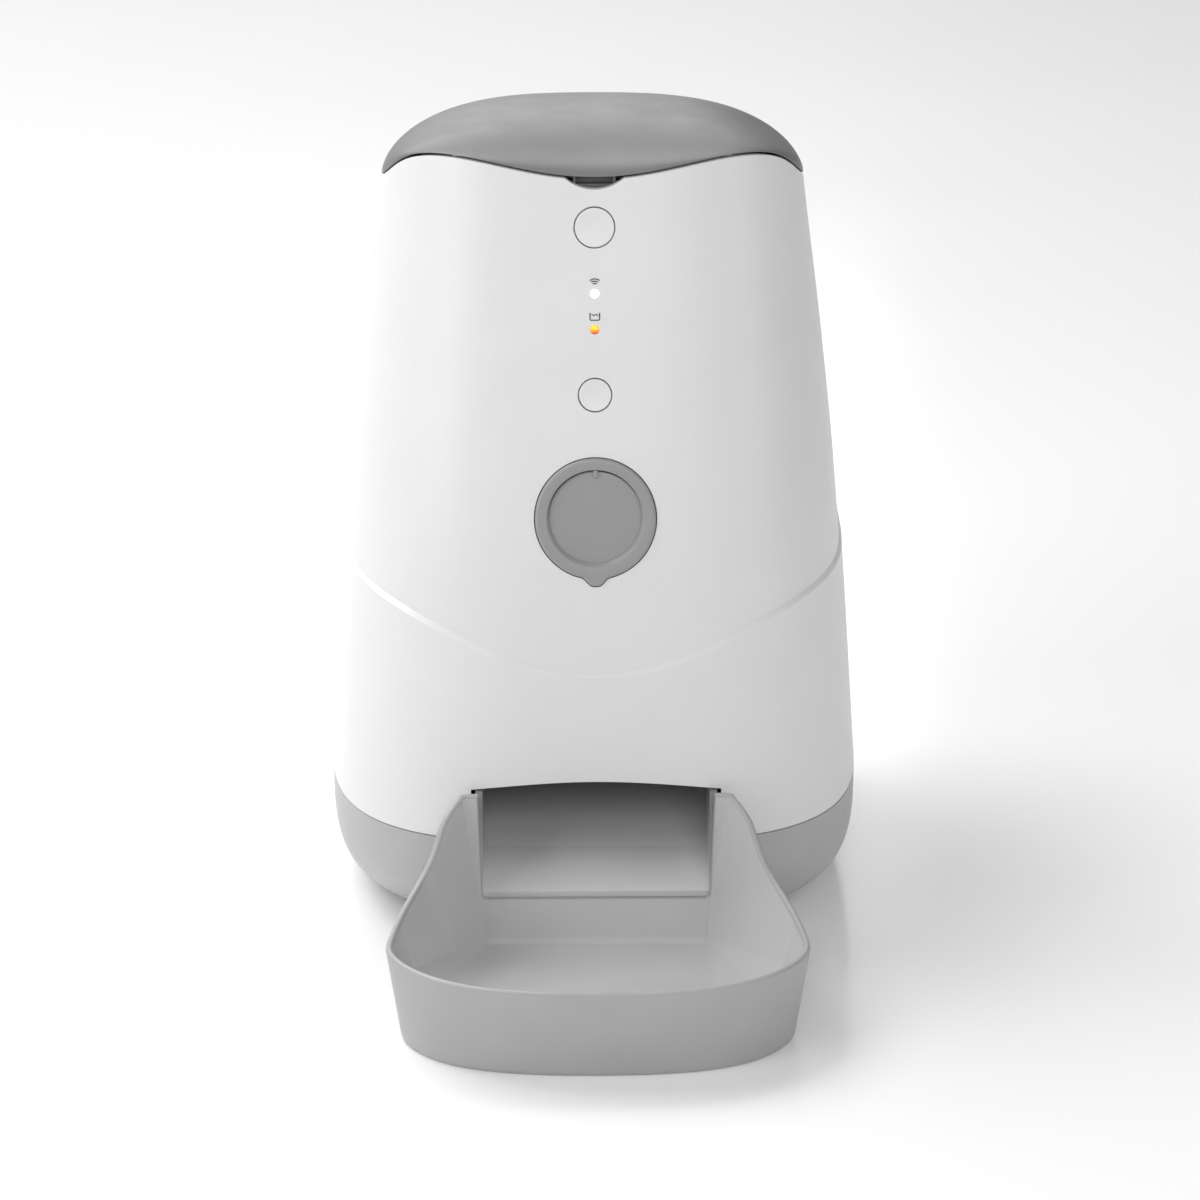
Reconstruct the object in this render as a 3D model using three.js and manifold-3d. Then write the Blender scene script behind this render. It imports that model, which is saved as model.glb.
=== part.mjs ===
// Automatic pet feeder: tapered shell on a base, domed lid, drum dispenser, chute and bowl.
// Millimetres, +Z up, -Y is the front. The origin is on the floor, under the middle of the object.

import * as THREE from 'three';
import { mergeVertices } from 'three/addons/utils/BufferGeometryUtils.js';
import Module from 'manifold-3d';

const wasm = await Module();
wasm.setup();

// ---------------------------------------------------------------- driving dimensions

const WALL = 2.5;                 // moulded wall thickness
const GAP = 0.3;                  // clearance between pieces that sit together
const SIDES = 40;                 // segments round the body
const BASE_TOP = 46;              // seam between base and shell
const BASE_BOTTOM = 3;            // underside of the base, above the rubber feet
const SKIRT_FRONT = 1.8;          // how far the lower shell stands proud at the front
const SKIRT_BACK = 1.0;           // and at the sides and back
const CROWN_HEIGHT = 283;         // top of the lid
const CROWN_Y = 45;               // where the crown is highest
const CROWN_FALL = 0.0008;        // its drop per square millimetre away from there
const LID_CENTRE_Y = 58;
const LID_PLAN_POWER = 3.2;       // how squarely the lid's dome turns over, in plan and in height
const LID_RISE_POWER = 1.86;

// The body's outline is a superellipse at every height.
// Each station is height, half width, front y, back y and the superellipse's power.
const STATIONS = [
  [46, 95.2, -50.2, 146.5, 3.2],
  [75, 93.2, -50.6, 145.6, 3.1],
  [110, 90.9, -45.0, 144.2, 3.0],
  [160, 87.1, -33.8, 141.0, 2.9],
  [205, 82.3, -20.0, 137.0, 2.8],
  [258, 75.6, -3.5, 129.0, 2.74],
  [285, 72.9, 4.0, 124.0, 2.7],
];

// Height of the lid's seam against y, before the dip at the front.
const SEAM_STATIONS = [[-5, 279.5], [11, 278.8], [21, 276], [39, 265.6], [67, 256], [97, 250], [140, 247.5]];
const SEAM_DIP = 6.2;
const SEAM_DIP_HALF_WIDTH = 58;

const LEDGE_HEIGHT = 130.3;       // curved ledge at the sides and back
const LEDGE_DIP = 23;             // its dip in the middle of the front
const LEDGE_DIP_HALF_WIDTH = 95;
const LEDGE_FADE = [20, 58];      // y range over which the dip fades out
const LEDGE_SLOPE = [-1.2, 0.9];  // the ledge's lower and upper edge about that line

const OUTLET_HALF_WIDTH = 44;
const OUTLET_TOP = 69.6;
const OUTLET_CORNER_TOP = 65.5;

const CONTROLS_LEAN = 0.302;      // backward lean of the control area, radians
const PORT_LEAN = 0.27;           // backward lean at the badge
const WIFI_BUTTON_Z = 257.1;
const WIFI_BUTTON_R = 6.85;
const FEED_BUTTON_Z = 201.9;
const FEED_BUTTON_R = 5.6;
const WIFI_LENS_Z = 235.3;
const FOOD_LENS_Z = 223.5;
const LENS_R = 1.5;
const KEY_BOARD_DEPTH = 12.4;     // front face of the key board behind the shell's outer face
const PORT_Z = 160.9;
const PORT_R = 21.05;
const CAP_R = 16.5;
const TAB_HALF = 2.2;
const TAB_REACH = 2.4;

const NOTCH_HALF_WIDTH = 9.7;     // finger notch under the lid's front edge
const NOTCH_DEPTH = 3.3;
const LATCH_HALF = 7.6;
const LATCH_Z = [259, 273.4];
const LATCH_DEPTH = 4.1;          // latch's face behind the shell's outer face
const CATCH_DEPTH = [2.5, 3.2];   // the lid's catch stands between the shell and the latch
const LATCH_THICK = 2.2;
const NOSE_Z = [271, 272.6];      // the latch's nose
const CATCH_Z = [269.2, 270.6];   // the lid's catch, below the nose
const SPRING_Z = 263;
const SPRING_R = 2.6;

const HINGE_Y = 135.2;
const HINGE_Z = 248.7;
const KNUCKLE_R = 4.3;
const HINGE_PIN_R = 2.0;
const LID_KNUCKLE = 25;           // half length of the lid's knuckle
const HINGE_HALF = 40;            // half length of the whole hinge
const PIN_END = 3;                // the hinge's bore stops this far short of its ends

const ROTOR_Y = 27;
const ROTOR_Z = 98;
const ROTOR_R = 27;
const ROTOR_HALF = 26;
const DRUM_R = 28;                // inside radius of the rotor's drum
const DRUM_HALF = 27;
const AXLE_R = 4;
const GEAR_MODULE = 1.25;
const GEAR_TEETH = 32;
const PINION_TEETH = 10;
const GEAR_THICK = 6;
const MOTOR_SHAFT_R = 2;
const COLLAR_TOP = 130;           // top of the drum's inlet, where the funnel ends
const INLET_HALF_X = 25;
const INLET_HALF_Y = 20;
const LEVEL_Z = 127;              // height of the food level windows in the inlet
const FUNNEL_TOP = 205;
const BIN_INSET = 5;
const BIN_FRONT_INSET = 19;       // leaves a bay for the key board
const BIN_RIM_DROP = 7;           // bin's rim below the lid's seam
const LINER_DROP = 3;             // liner's underside below the lid's seam

const CHUTE_HALF = 42.5;
const CHUTE_FRONT = -51.3;
const CHUTE_LIP = 26.3;
const CHUTE_BREAK = [-33, 36];    // where the chute's floor gets steeper
const CHUTE_END = [11, 67];
const CHUTE_ROOF_Y = -40;
const CHUTE_ROOF = 73.5;
const CHUTE_NOSE_TOP = 65;        // top of the two cheeks that stand in the outlet

const BOWL_BACK = -53.4;
const BOWL_LIP = 26;
const BOWL_FLOOR = 9;
const BOWL_WALL = 2.4;
const BOWL_MIDDLE = -98;
const BOWL_REACH = 50.3;          // from there to the front of the rim
const MOUTH_HALF = [40.1, 41.7];   // half width of the bowl's mouth at its sill and its top
// Half of the bowl's rim, from the back corner round to the middle of the front.
const BOWL_RIM = [
  [48.2, -54.5, 66], [54.1, -62, 60], [58.7, -70, 49], [62.7, -76, 43], [67.5, -88, 39], [71.4, -103, 36],
  [72.2, -114, 35], [67.9, -123.5, 34.5], [56.8, -135, 34.5], [40.9, -143, 34.5], [20.5, -147.2, 34.6],
  [0, -148.3, 34.8],
];

const CELL_R = 17.1;              // D size battery
const CELL_LENGTH = 59.5;
const CELL_PITCH = 35;
const CELL_FIRST_Y = 43;
const CELL_Z = 24;

const FOOT_R = 8;
const FEET = { front_left: [-62, 1], front_right: [62, 1], rear_left: [-62, 118], rear_right: [62, 118] };
const SCREWS = [[-76, 25], [76, 25], [-74, 95], [74, 95]];
const SOCKET = [48, 141.8, 30];   // middle of the power socket's face

// ---------------------------------------------------------------- materials

function finish(color, roughness, metalness = 0) {
  return new THREE.MeshStandardMaterial({ color, roughness, metalness });
}

const WHITE = finish(0xeeeeee, 0.35);
const LID_GREY = finish(0xa9a9a9, 0.45);
const BASE_GREY = finish(0x9b9b9b, 0.5);
const BOWL_GREY = finish(0xa2a2a2, 0.35);
const DARK = finish(0x3c3d40, 0.55);
const LINER = finish(0xd8d8d6, 0.5);
const RUBBER = finish(0x2c2c2e, 0.85);
const SEAL = finish(0xbfc2c2, 0.8);
const STEEL = finish(0xb8babd, 0.3, 1);
const BOARD = finish(0x1f5a38, 0.55);
const GEAR = finish(0xe6e2d5, 0.5);
const CELL = finish(0x4a4d55, 0.4);
const COPPER = finish(0xc9c4b0, 0.35, 1);
const LENS_WHITE = finish(0xf4f6f6, 0.25);
const LENS_AMBER = finish(0xf9a842, 0.25);

// ---------------------------------------------------------------- solids

function signedVolume(position, index) {
  const [a, b, c] = [new THREE.Vector3(), new THREE.Vector3(), new THREE.Vector3()];
  let sum = 0;
  for (let i = 0; i < index.length; i += 3) {
    a.fromBufferAttribute(position, index[i]);
    b.fromBufferAttribute(position, index[i + 1]);
    c.fromBufferAttribute(position, index[i + 2]);
    sum += a.dot(b.cross(c));
  }
  return sum;
}

// Joins shared corners, drops the flat triangles that a profile on the axis leaves, and faces outwards.
function tidy(geometry) {
  const bare = geometry.clone();
  bare.deleteAttribute('normal');
  if (bare.attributes.uv) bare.deleteAttribute('uv');
  const merged = mergeVertices(bare, 1e-4);
  const index = merged.index.array;
  const kept = [];
  for (let i = 0; i < index.length; i += 3) {
    const [a, b, c] = [index[i], index[i + 1], index[i + 2]];
    if (a !== b && b !== c && c !== a) kept.push(a, b, c);
  }
  if (signedVolume(merged.attributes.position, kept) < 0) kept.reverse();
  merged.setIndex(kept);
  return merged;
}

function toSolid(geometry) {
  const { attributes, index } = tidy(geometry);
  return new wasm.Manifold(new wasm.Mesh({
    numProp: 3,
    vertProperties: new Float32Array(attributes.position.array),
    triVerts: new Uint32Array(index.array),
  }));
}

function toGeometry(solid) {
  const mesh = solid.getMesh();
  const geometry = new THREE.BufferGeometry();
  geometry.setAttribute('position', new THREE.BufferAttribute(mesh.vertProperties, mesh.numProp));
  geometry.setIndex(new THREE.BufferAttribute(mesh.triVerts, 1));
  return geometry;
}

function cut(body, ...tools) {
  return toGeometry(tools.reduce((solid, tool) => solid.subtract(toSolid(tool)), toSolid(body)));
}

function join(body, ...others) {
  return toGeometry(others.reduce((solid, other) => solid.add(toSolid(other)), toSolid(body)));
}

function box(x0, x1, y0, y1, z0, z1) {
  const geometry = new THREE.BoxGeometry(x1 - x0, y1 - y0, z1 - z0);
  return geometry.translate((x0 + x1) / 2, (y0 + y1) / 2, (z0 + z1) / 2);
}

// A cylinder along Y, and further down one along X and one upright.
function rodY(r, y0, y1, sides = 20) {
  return new THREE.CylinderGeometry(r, r, y1 - y0, sides).translate(0, (y0 + y1) / 2, 0);
}

const rodX = (r, x0, x1, sides = 20) => rodY(r, x0, x1, sides).rotateZ(-Math.PI / 2);
const rodZ = (r, z0, z1, sides = 20) => rodY(r, z0, z1, sides).rotateX(Math.PI / 2);

// A profile of [radius, y] points turned about the Y axis.
function turned(points, sides = 24) {
  return new THREE.LatheGeometry(points.map(([r, y]) => new THREE.Vector2(r, y)), sides);
}

// A shape drawn in the YZ plane, extruded from x0 to x1.
function alongX(shape, x0, x1) {
  const depth = x1 - x0;
  const geometry = new THREE.ExtrudeGeometry(shape, { depth, bevelEnabled: false, curveSegments: 10 });
  const axes = [new THREE.Vector3(0, 1, 0), new THREE.Vector3(0, 0, 1), new THREE.Vector3(1, 0, 0)];
  return geometry.translate(0, 0, x0).applyMatrix4(new THREE.Matrix4().makeBasis(...axes));
}

// A skin over rings of equal length. The last ring meets the first, or both ends are capped.
function loft(rings, ringClosed = false) {
  const count = rings[0].length;
  const points = rings.flat();
  const index = [];
  const pairs = ringClosed ? rings.length : rings.length - 1;
  for (let r = 0; r < pairs; r++) {
    const low = r * count;
    const high = ((r + 1) % rings.length) * count;
    for (let i = 0; i < count; i++) {
      const j = (i + 1) % count;
      index.push(low + i, low + j, high + j, low + i, high + j, high + i);
    }
  }
  if (!ringClosed) {
    for (const [ring, start, turn] of [[rings[0], 0, 1], [rings.at(-1), (rings.length - 1) * count, 0]]) {
      const centre = ring.reduce((sum, p) => sum.add(p), new THREE.Vector3()).divideScalar(count);
      points.push(centre);
      for (let i = 0; i < count; i++) {
        const pair = [start + i, start + (i + 1) % count];
        index.push(points.length - 1, pair[turn], pair[1 - turn]);
      }
    }
  }
  const geometry = new THREE.BufferGeometry().setFromPoints(points);
  geometry.setIndex(index);
  return geometry;
}

// ---------------------------------------------------------------- the body's surface

function curve(stations) {
  const heights = stations.map(([height]) => height);
  const values = stations.flatMap(([, ...rest]) => rest);
  return new THREE.CubicInterpolant(heights, values, stations[0].length - 1);
}

const bodyCurve = curve(STATIONS);
const seamCurve = curve(SEAM_STATIONS);

function section(z, inset = 0) {
  const [half, front, back, power] = bodyCurve.evaluate(z);
  return { half: half - inset, front: front + inset, back: back - inset, power };
}

const signedPower = (value, power) => Math.sign(value) * Math.abs(value) ** power;

function superellipse({ half, front, back, power }, angle, z) {
  const x = half * signedPower(Math.cos(angle), 2 / power);
  const y = (front + back) / 2 + (back - front) / 2 * signedPower(Math.sin(angle), 2 / power);
  return new THREE.Vector3(x, y, z);
}

const ANGLES = Array.from({ length: SIDES }, (_, i) => (i + 0.5) / SIDES * 2 * Math.PI);
const bump = (x, halfWidth) => (Math.abs(x) < halfWidth ? 0.5 + 0.5 * Math.cos(Math.PI * x / halfWidth) : 0);
const isFront = (p) => p.y < LID_CENTRE_Y;

const seamHeight = (p) => seamCurve.evaluate(p.y)[0]
  - (isFront(p) ? SEAM_DIP * bump(p.x, SEAM_DIP_HALF_WIDTH) : 0);
const ledgeHeight = (p) => LEDGE_HEIGHT
  - LEDGE_DIP * bump(p.x, LEDGE_DIP_HALF_WIDTH) * (1 - THREE.MathUtils.smoothstep(p.y, ...LEDGE_FADE));

// Height at which the body's surface meets a line drawn on it, at one angle.
function meet(lineHeight, angle, start) {
  let z = start;
  for (let i = 0; i < 12; i++) z = lineHeight(superellipse(section(z), angle, z));
  return z;
}

const SEAM_Z = ANGLES.map((angle) => meet(seamHeight, angle, 265));
const LEDGE_Z = ANGLES.map((angle) => meet(ledgeHeight, angle, 125));
const skirt = (angle) => SKIRT_BACK + (SKIRT_FRONT - SKIRT_BACK) * Math.max(0, -Math.sin(angle)) ** 2;
const mix = THREE.MathUtils.lerp;

// One ring of the body: height and inset are functions of the ring's index and angle.
function ring(height, inset) {
  return ANGLES.map((angle, i) => {
    const z = height(i);
    return superellipse(section(z, inset(angle)), angle, z);
  });
}

const level = (z) => () => z;
const inward = (distance) => () => distance;
const proud = (angle) => -skirt(angle);

// ---------------------------------------------------------------- the assembly

const feeder = new THREE.Group();

function add(name, geometry, material, parent = feeder) {
  const mesh = new THREE.Mesh(tidy(geometry), material);
  mesh.name = name;
  parent.add(mesh);
  return mesh;
}

// A group whose +Y points into the body, square to the leaning front.
function frontGroup(z, lean, parent = feeder) {
  const group = new THREE.Group();
  group.position.set(0, section(z).front, z);
  group.rotation.x = -lean;
  parent.add(group);
  group.updateMatrixWorld(true);
  return group;
}

const controls = frontGroup(FEED_BUTTON_Z, CONTROLS_LEAN);
const port = frontGroup(PORT_Z, PORT_LEAN);
const inPlace = (geometry, group) => geometry.applyMatrix4(group.matrixWorld);
const alongControls = (z) => (z - FEED_BUTTON_Z) / Math.cos(CONTROLS_LEAN);

// A place on the straight control area, at the height z of its middle.
function controlPlace(z) {
  const group = new THREE.Group();
  group.position.z = alongControls(z);
  controls.add(group);
  group.updateMatrixWorld(true);
  return group;
}

const wifiKey = controlPlace(WIFI_BUTTON_Z);
const feedKey = controlPlace(FEED_BUTTON_Z);
const wifiLamp = controlPlace(WIFI_LENS_Z);
const foodLamp = controlPlace(FOOD_LENS_Z);

function portTab(grow, y0, y1) {
  return box(-TAB_HALF - grow, TAB_HALF + grow, y0, y1, -PORT_R - TAB_REACH - grow, -PORT_R + 1);
}

const portHole = () => join(rodY(PORT_R + 0.4, -4, 6, 40), portTab(0.4, -4, 6));

function knuckle(x0, x1, webLow, webHigh) {
  const barrel = rodX(KNUCKLE_R, x0, x1, 20).translate(0, HINGE_Y, HINGE_Z);
  const web = box(x0, x1, section(HINGE_Z).back - 1.6, HINGE_Y, webLow, webHigh);
  return join(barrel, web);
}

const hingeBore = (x0, x1) => rodX(HINGE_PIN_R + GAP, x0, x1, 16).translate(0, HINGE_Y, HINGE_Z);

function halfWidthAt(y, z) {
  const { half, front, back, power } = section(z);
  const across = Math.abs(y - (front + back) / 2) / ((back - front) / 2);
  return half * (1 - across ** power) ** (1 / power);
}

// A post for a base screw, with a rib out to the side wall.
function screwPost(x, y) {
  const reach = Math.sign(x) * (halfWidthAt(y, 62) - 1.2);
  const rib = box(Math.min(reach, x), Math.max(reach, x), y - 1.25, y + 1.25, BASE_TOP + 0.6, 62);
  return [rodZ(4.5, BASE_TOP + 0.3, 64, 16).translate(x, y, 0), rib];
}

function outletCutter() {
  const arch = new THREE.Shape();
  arch.moveTo(-OUTLET_HALF_WIDTH, 20);
  arch.lineTo(OUTLET_HALF_WIDTH, 20);
  arch.lineTo(OUTLET_HALF_WIDTH, OUTLET_CORNER_TOP);
  arch.quadraticCurveTo(0, 2 * OUTLET_TOP - OUTLET_CORNER_TOP, -OUTLET_HALF_WIDTH, OUTLET_CORNER_TOP);
  const depth = 16;
  const geometry = new THREE.ExtrudeGeometry(arch, { depth, bevelEnabled: false, curveSegments: 10 });
  return geometry.rotateX(Math.PI / 2).translate(0, section(BASE_TOP).front - 6 + depth, 0);
}

function bodyShell() {
  const seam = (i) => SEAM_Z[i];
  const between = (part) => (i) => mix(LEDGE_Z[i], SEAM_Z[i], part);
  const skin = loft([
    ring(level(BASE_TOP), proud),
    ring((i) => mix(BASE_TOP, LEDGE_Z[i], 0.5), proud),
    ring((i) => LEDGE_Z[i] + LEDGE_SLOPE[0], proud),
    ring((i) => LEDGE_Z[i] + LEDGE_SLOPE[1], inward(0)),
    ring(between(0.35), inward(0)),
    ring(between(0.7), inward(0)),
    ring((i) => seam(i) - GAP, inward(0)),
    ring((i) => seam(i) - GAP, inward(WALL)),
    ring(between(0.5), inward(WALL)),
    ring((i) => LEDGE_Z[i], inward(WALL)),
    ring(level(BASE_TOP), inward(WALL)),
  ], true);
  const notchRadius = (NOTCH_HALF_WIDTH ** 2 + NOTCH_DEPTH ** 2) / (2 * NOTCH_DEPTH);
  const notchZ = SEAM_Z[Math.round(SIDES * 0.75)] - GAP - NOTCH_DEPTH + notchRadius;
  const notch = rodY(notchRadius, -3, 5, 48).translate(0, section(270).front, notchZ);
  const knuckles = [knuckle(-HINGE_HALF, -LID_KNUCKLE - 0.4, 240, HINGE_Z - 0.7),
    knuckle(LID_KNUCKLE + 0.4, HINGE_HALF, 240, HINGE_Z - 0.7)];
  const posts = SCREWS.flatMap(([x, y]) => screwPost(x, y));
  return cut(
    join(skin, ...knuckles, ...posts),
    notch,
    hingeBore(-HINGE_HALF + PIN_END, HINGE_HALF - PIN_END),
    outletCutter(),
    inPlace(rodY(WIFI_BUTTON_R + 0.45, -4, 4, 24), wifiKey),
    inPlace(rodY(FEED_BUTTON_R + 0.45, -4, 4, 24), feedKey),
    inPlace(rodY(LENS_R + GAP, -4, 4, 12), wifiLamp),
    inPlace(rodY(LENS_R + GAP, -4, 4, 12), foodLamp),
    inPlace(portHole(), port),
    ...SCREWS.map(([x, y]) => rodZ(1.8, 40, 60, 12).translate(x, y, 0)),
  );
}

// ---------------------------------------------------------------- base

// The base tucks in towards the floor: tuck 0 is its full width, 1 is near its underside.
const TUCK_SIDE = 7.2;
const TUCK_FRONT = 18.5;
const TUCK_BACK = 7.6;

function baseRing(z, tuck, inset = 0) {
  const { half, front, back } = section(BASE_TOP);
  return ANGLES.map((angle) => {
    const out = skirt(angle) - inset;
    const outline = {
      half: half + out - TUCK_SIDE * tuck,
      front: front - out + TUCK_FRONT * tuck,
      back: back + out - TUCK_BACK * tuck,
      power: mix(3.2, 2.6, Math.min(1, tuck)),
    };
    return superellipse(outline, angle, z);
  });
}

const BAY_HALF_X = 38;
const BAY_FRONT = CELL_FIRST_Y - CELL_R - 5;
const BAY_BACK = CELL_FIRST_Y + 2 * CELL_PITCH + CELL_R + 4;
const DOOR = [-BAY_HALF_X + 3, BAY_HALF_X - 3, BAY_FRONT + 2, BAY_BACK - 2];
const GRIP_R = 5;                 // finger groove in the battery door

function batteryBay() {
  const floor = BASE_BOTTOM + 1;
  const top = 42;
  return [
    box(-BAY_HALF_X, -BAY_HALF_X + 2, BAY_FRONT, BAY_BACK, floor, top),
    box(BAY_HALF_X - 2, BAY_HALF_X, BAY_FRONT, BAY_BACK, floor, top),
    box(-BAY_HALF_X, BAY_HALF_X, BAY_FRONT, BAY_FRONT + 2, floor, top),
    box(-BAY_HALF_X, BAY_HALF_X, BAY_BACK - 2, BAY_BACK, floor, top),
  ];
}

function footPocket([x, y]) {
  return rodZ(FOOT_R + GAP, BASE_BOTTOM - 1, BASE_BOTTOM + 1.4, 20).translate(x, y, 0);
}

function baseHousing() {
  const skin = loft([
    baseRing(BASE_BOTTOM, 1.3),
    baseRing(6, 1),
    baseRing(12, 0.6),
    baseRing(20, 0.25),
    baseRing(30, 0.04),
    baseRing(BASE_TOP - GAP, 0),
    baseRing(BASE_TOP - GAP, 0, WALL + 1),
    baseRing(24, 0.15, WALL + 1),
    baseRing(12, 0.6, WALL + 1),
    baseRing(BASE_BOTTOM + WALL, 1.05, WALL + 1),
  ]);
  const bosses = SCREWS.map(([x, y]) => rodZ(6, BASE_BOTTOM + 1, BASE_TOP - GAP, 16).translate(x, y, 0));
  const [x0, x1, y0, y1] = DOOR;
  const [sx, sy, sz] = SOCKET;
  const socketPad = box(sx - 9, sx + 8, sy - 5.8, sy - 0.8, sz - 9, sz + 9);
  return cut(
    join(skin, ...batteryBay(), ...bosses, socketPad),
    outletCutter(),
    box(x0, x1, y0, y1, 0, BASE_BOTTOM + WALL + 1),
    rodY(5.8, sy - 20, sy + 20, 20).translate(sx, 0, sz),
    rodY(7.4, sy - 1.1, sy + 20, 20).translate(sx, 0, sz),
    ...Object.values(FEET).map(footPocket),
    ...SCREWS.map(([x, y]) => rodZ(1.8, 0, 50, 12).translate(x, y, 0)),
    ...SCREWS.map(([x, y]) => rodZ(4.2, 0, 7.5, 16).translate(x, y, 0)),
  );
}

function batteryDoor() {
  const [x0, x1, y0, y1] = DOOR;
  const panel = box(x0 + 0.4, x1 - 0.4, y0 + 0.4, y1 - 0.4, BASE_BOTTOM, BASE_BOTTOM + WALL);
  const grip = rodX(GRIP_R, -9, 9, 16).translate(0, y0 + 12, BASE_BOTTOM + 1.4 - GRIP_R);
  return cut(panel, grip);
}

function screw() {
  return turned([[0, 5], [3.4, 5], [3.6, 7.2], [1.4, 7.2], [1.4, 58], [0, 59.5]], 12).rotateX(Math.PI / 2);
}

function cell() {
  const end = CELL_LENGTH / 2;
  const profile = [[0, -end], [CELL_R - 1, -end], [CELL_R, -end + 1], [CELL_R, end - 1], [CELL_R - 1, end],
    [4.6, end], [4.6, end + 1.5], [0, end + 1.5]];
  return turned(profile, 20).rotateZ(-Math.PI / 2);
}

function powerSocket() {
  const body = [[0, -12], [5.4, -12], [5.4, -0.8], [7, -0.8], [7, 0.4], [2.9, 0.4], [2.9, -9]];
  const pin = [[1, -9], [1, -1.5], [0, -1.5]];
  return turned([...body, ...pin], 20);
}

// ---------------------------------------------------------------- lid

function lidRing(lift, inset) {
  const out = Math.cos(lift) ** (2 / LID_PLAN_POWER);
  const up = Math.sin(lift) ** (2 / LID_RISE_POWER);
  return ANGLES.map((angle, i) => {
    const edge = superellipse(section(SEAM_Z[i], inset), angle, SEAM_Z[i] + 0.5);
    const y = mix(LID_CENTRE_Y, edge.y, out);
    const crown = CROWN_HEIGHT - CROWN_FALL * (y - CROWN_Y) ** 2 - inset;
    return new THREE.Vector3(edge.x * out, y, mix(edge.z, crown, up));
  });
}

const LATCH_Y = section(LATCH_Z[1]).front + LATCH_DEPTH;

// A loop under the lid's front edge, for the latch's nose.
function lidCatch() {
  const [y0, y1] = CATCH_DEPTH.map((depth) => section(LATCH_Z[1]).front + depth);
  const top = 274.3;
  const [inside, outside] = [LATCH_HALF - 1.2, LATCH_HALF - 0.2];
  return [
    box(-outside, -inside, y0, y1, CATCH_Z[0], top),
    box(inside, outside, y0, y1, CATCH_Z[0], top),
    box(-outside, outside, y0, y1, ...CATCH_Z),
  ];
}

function lid() {
  const lifts = [0, 12, 28, 45, 62, 80].map(THREE.MathUtils.degToRad);
  const inside = lifts.map((lift) => lidRing(lift, WALL));
  const skin = loft([...inside.reverse(), ...lifts.map((lift) => lidRing(lift, 0))]);
  const hinge = knuckle(-LID_KNUCKLE, LID_KNUCKLE, HINGE_Z + 0.9, HINGE_Z + 4.2);
  return cut(join(skin, hinge, ...lidCatch()), hingeBore(-LID_KNUCKLE - 1, LID_KNUCKLE + 1));
}

function lidLiner() {
  const dish = (z) => ANGLES.map((angle, i) => (
    superellipse(section(SEAM_Z[i], 30), angle, mix(SEAM_Z[i], z, 0.8))));
  const panel = loft([
    dish(258.5),
    rimRing(LINER_DROP - 1.5, 12, 24),
    rimRing(LINER_DROP, 9.5, 21.5),
    rimRing(LINER_DROP, 3.4, 14),
    rimRing(LINER_DROP - 2, 3.4, 14),
    rimRing(LINER_DROP - 2, 9.5, 21.5),
    rimRing(LINER_DROP - 3.8, 12, 24),
    dish(261),
  ]);
  const window = box(-21, 21, 41, 79, 240, 285);
  return cut(panel, window);
}

function desiccantBox() {
  const outer = box(-20.5, 20.5, 41.5, 78.5, 250, 268);
  const inner = box(-18.5, 18.5, 43.5, 76.5, 252, 270);
  return cut(outer, inner);
}

// ---------------------------------------------------------------- food bin

function binRing(z, inset) {
  const spread = Math.min(1, Math.max(0, (z - COLLAR_TOP) / (FUNNEL_TOP - COLLAR_TOP)));
  const wide = section(Math.max(z, FUNNEL_TOP), BIN_INSET);
  const grow = BIN_INSET - inset;
  const collarFront = ROTOR_Y - INLET_HALF_Y - WALL;
  const outline = {
    half: mix(INLET_HALF_X + WALL, wide.half, spread) + grow,
    front: mix(collarFront, wide.front, spread) - grow,
    back: mix(ROTOR_Y + INLET_HALF_Y + WALL, wide.back, spread) + grow,
    power: mix(8, wide.power, spread),
  };
  const flatFront = mix(collarFront, wide.front - BIN_INSET + BIN_FRONT_INSET, spread) - grow;
  return ANGLES.map((angle) => {
    const p = superellipse(outline, angle, z);
    return p.setY(Math.max(p.y, flatFront));
  });
}

// A ring that follows the lid's seam at a distance below it, with a flat front.
function rimRing(drop, inset, frontInset) {
  return ANGLES.map((angle, i) => {
    const outline = section(SEAM_Z[i] - drop, inset);
    const p = superellipse(outline, angle, 0);
    p.y = Math.max(p.y, outline.front - inset + frontInset);
    return p.setZ(seamHeight(p) - drop);
  });
}

function hopper() {
  const inner = BIN_INSET + WALL;
  const skin = loft([
    binRing(COLLAR_TOP + GAP, BIN_INSET),
    binRing(FUNNEL_TOP, BIN_INSET),
    rimRing(BIN_RIM_DROP + 2, BIN_INSET, BIN_FRONT_INSET),
    rimRing(BIN_RIM_DROP + 2, 2.9, 2.9),
    rimRing(BIN_RIM_DROP, 2.9, 2.9),
    rimRing(BIN_RIM_DROP, inner, BIN_FRONT_INSET + WALL),
    binRing(FUNNEL_TOP, inner),
    binRing(COLLAR_TOP + GAP, inner),
  ], true);
  const latchSlot = box(-LATCH_HALF - 0.4, LATCH_HALF + 0.4, section(267).front + 3, 17.3, 262, 285);
  return cut(skin, latchSlot);
}

function lidSeal() {
  return loft([
    rimRing(BIN_RIM_DROP - 0.6, 7, 19.5),
    rimRing(BIN_RIM_DROP - 0.6, 3.4, 16),
    rimRing(LINER_DROP + 0.6, 3.4, 16),
    rimRing(LINER_DROP + 0.6, 7, 19.5),
  ], true);
}

// ---------------------------------------------------------------- dispenser

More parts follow.
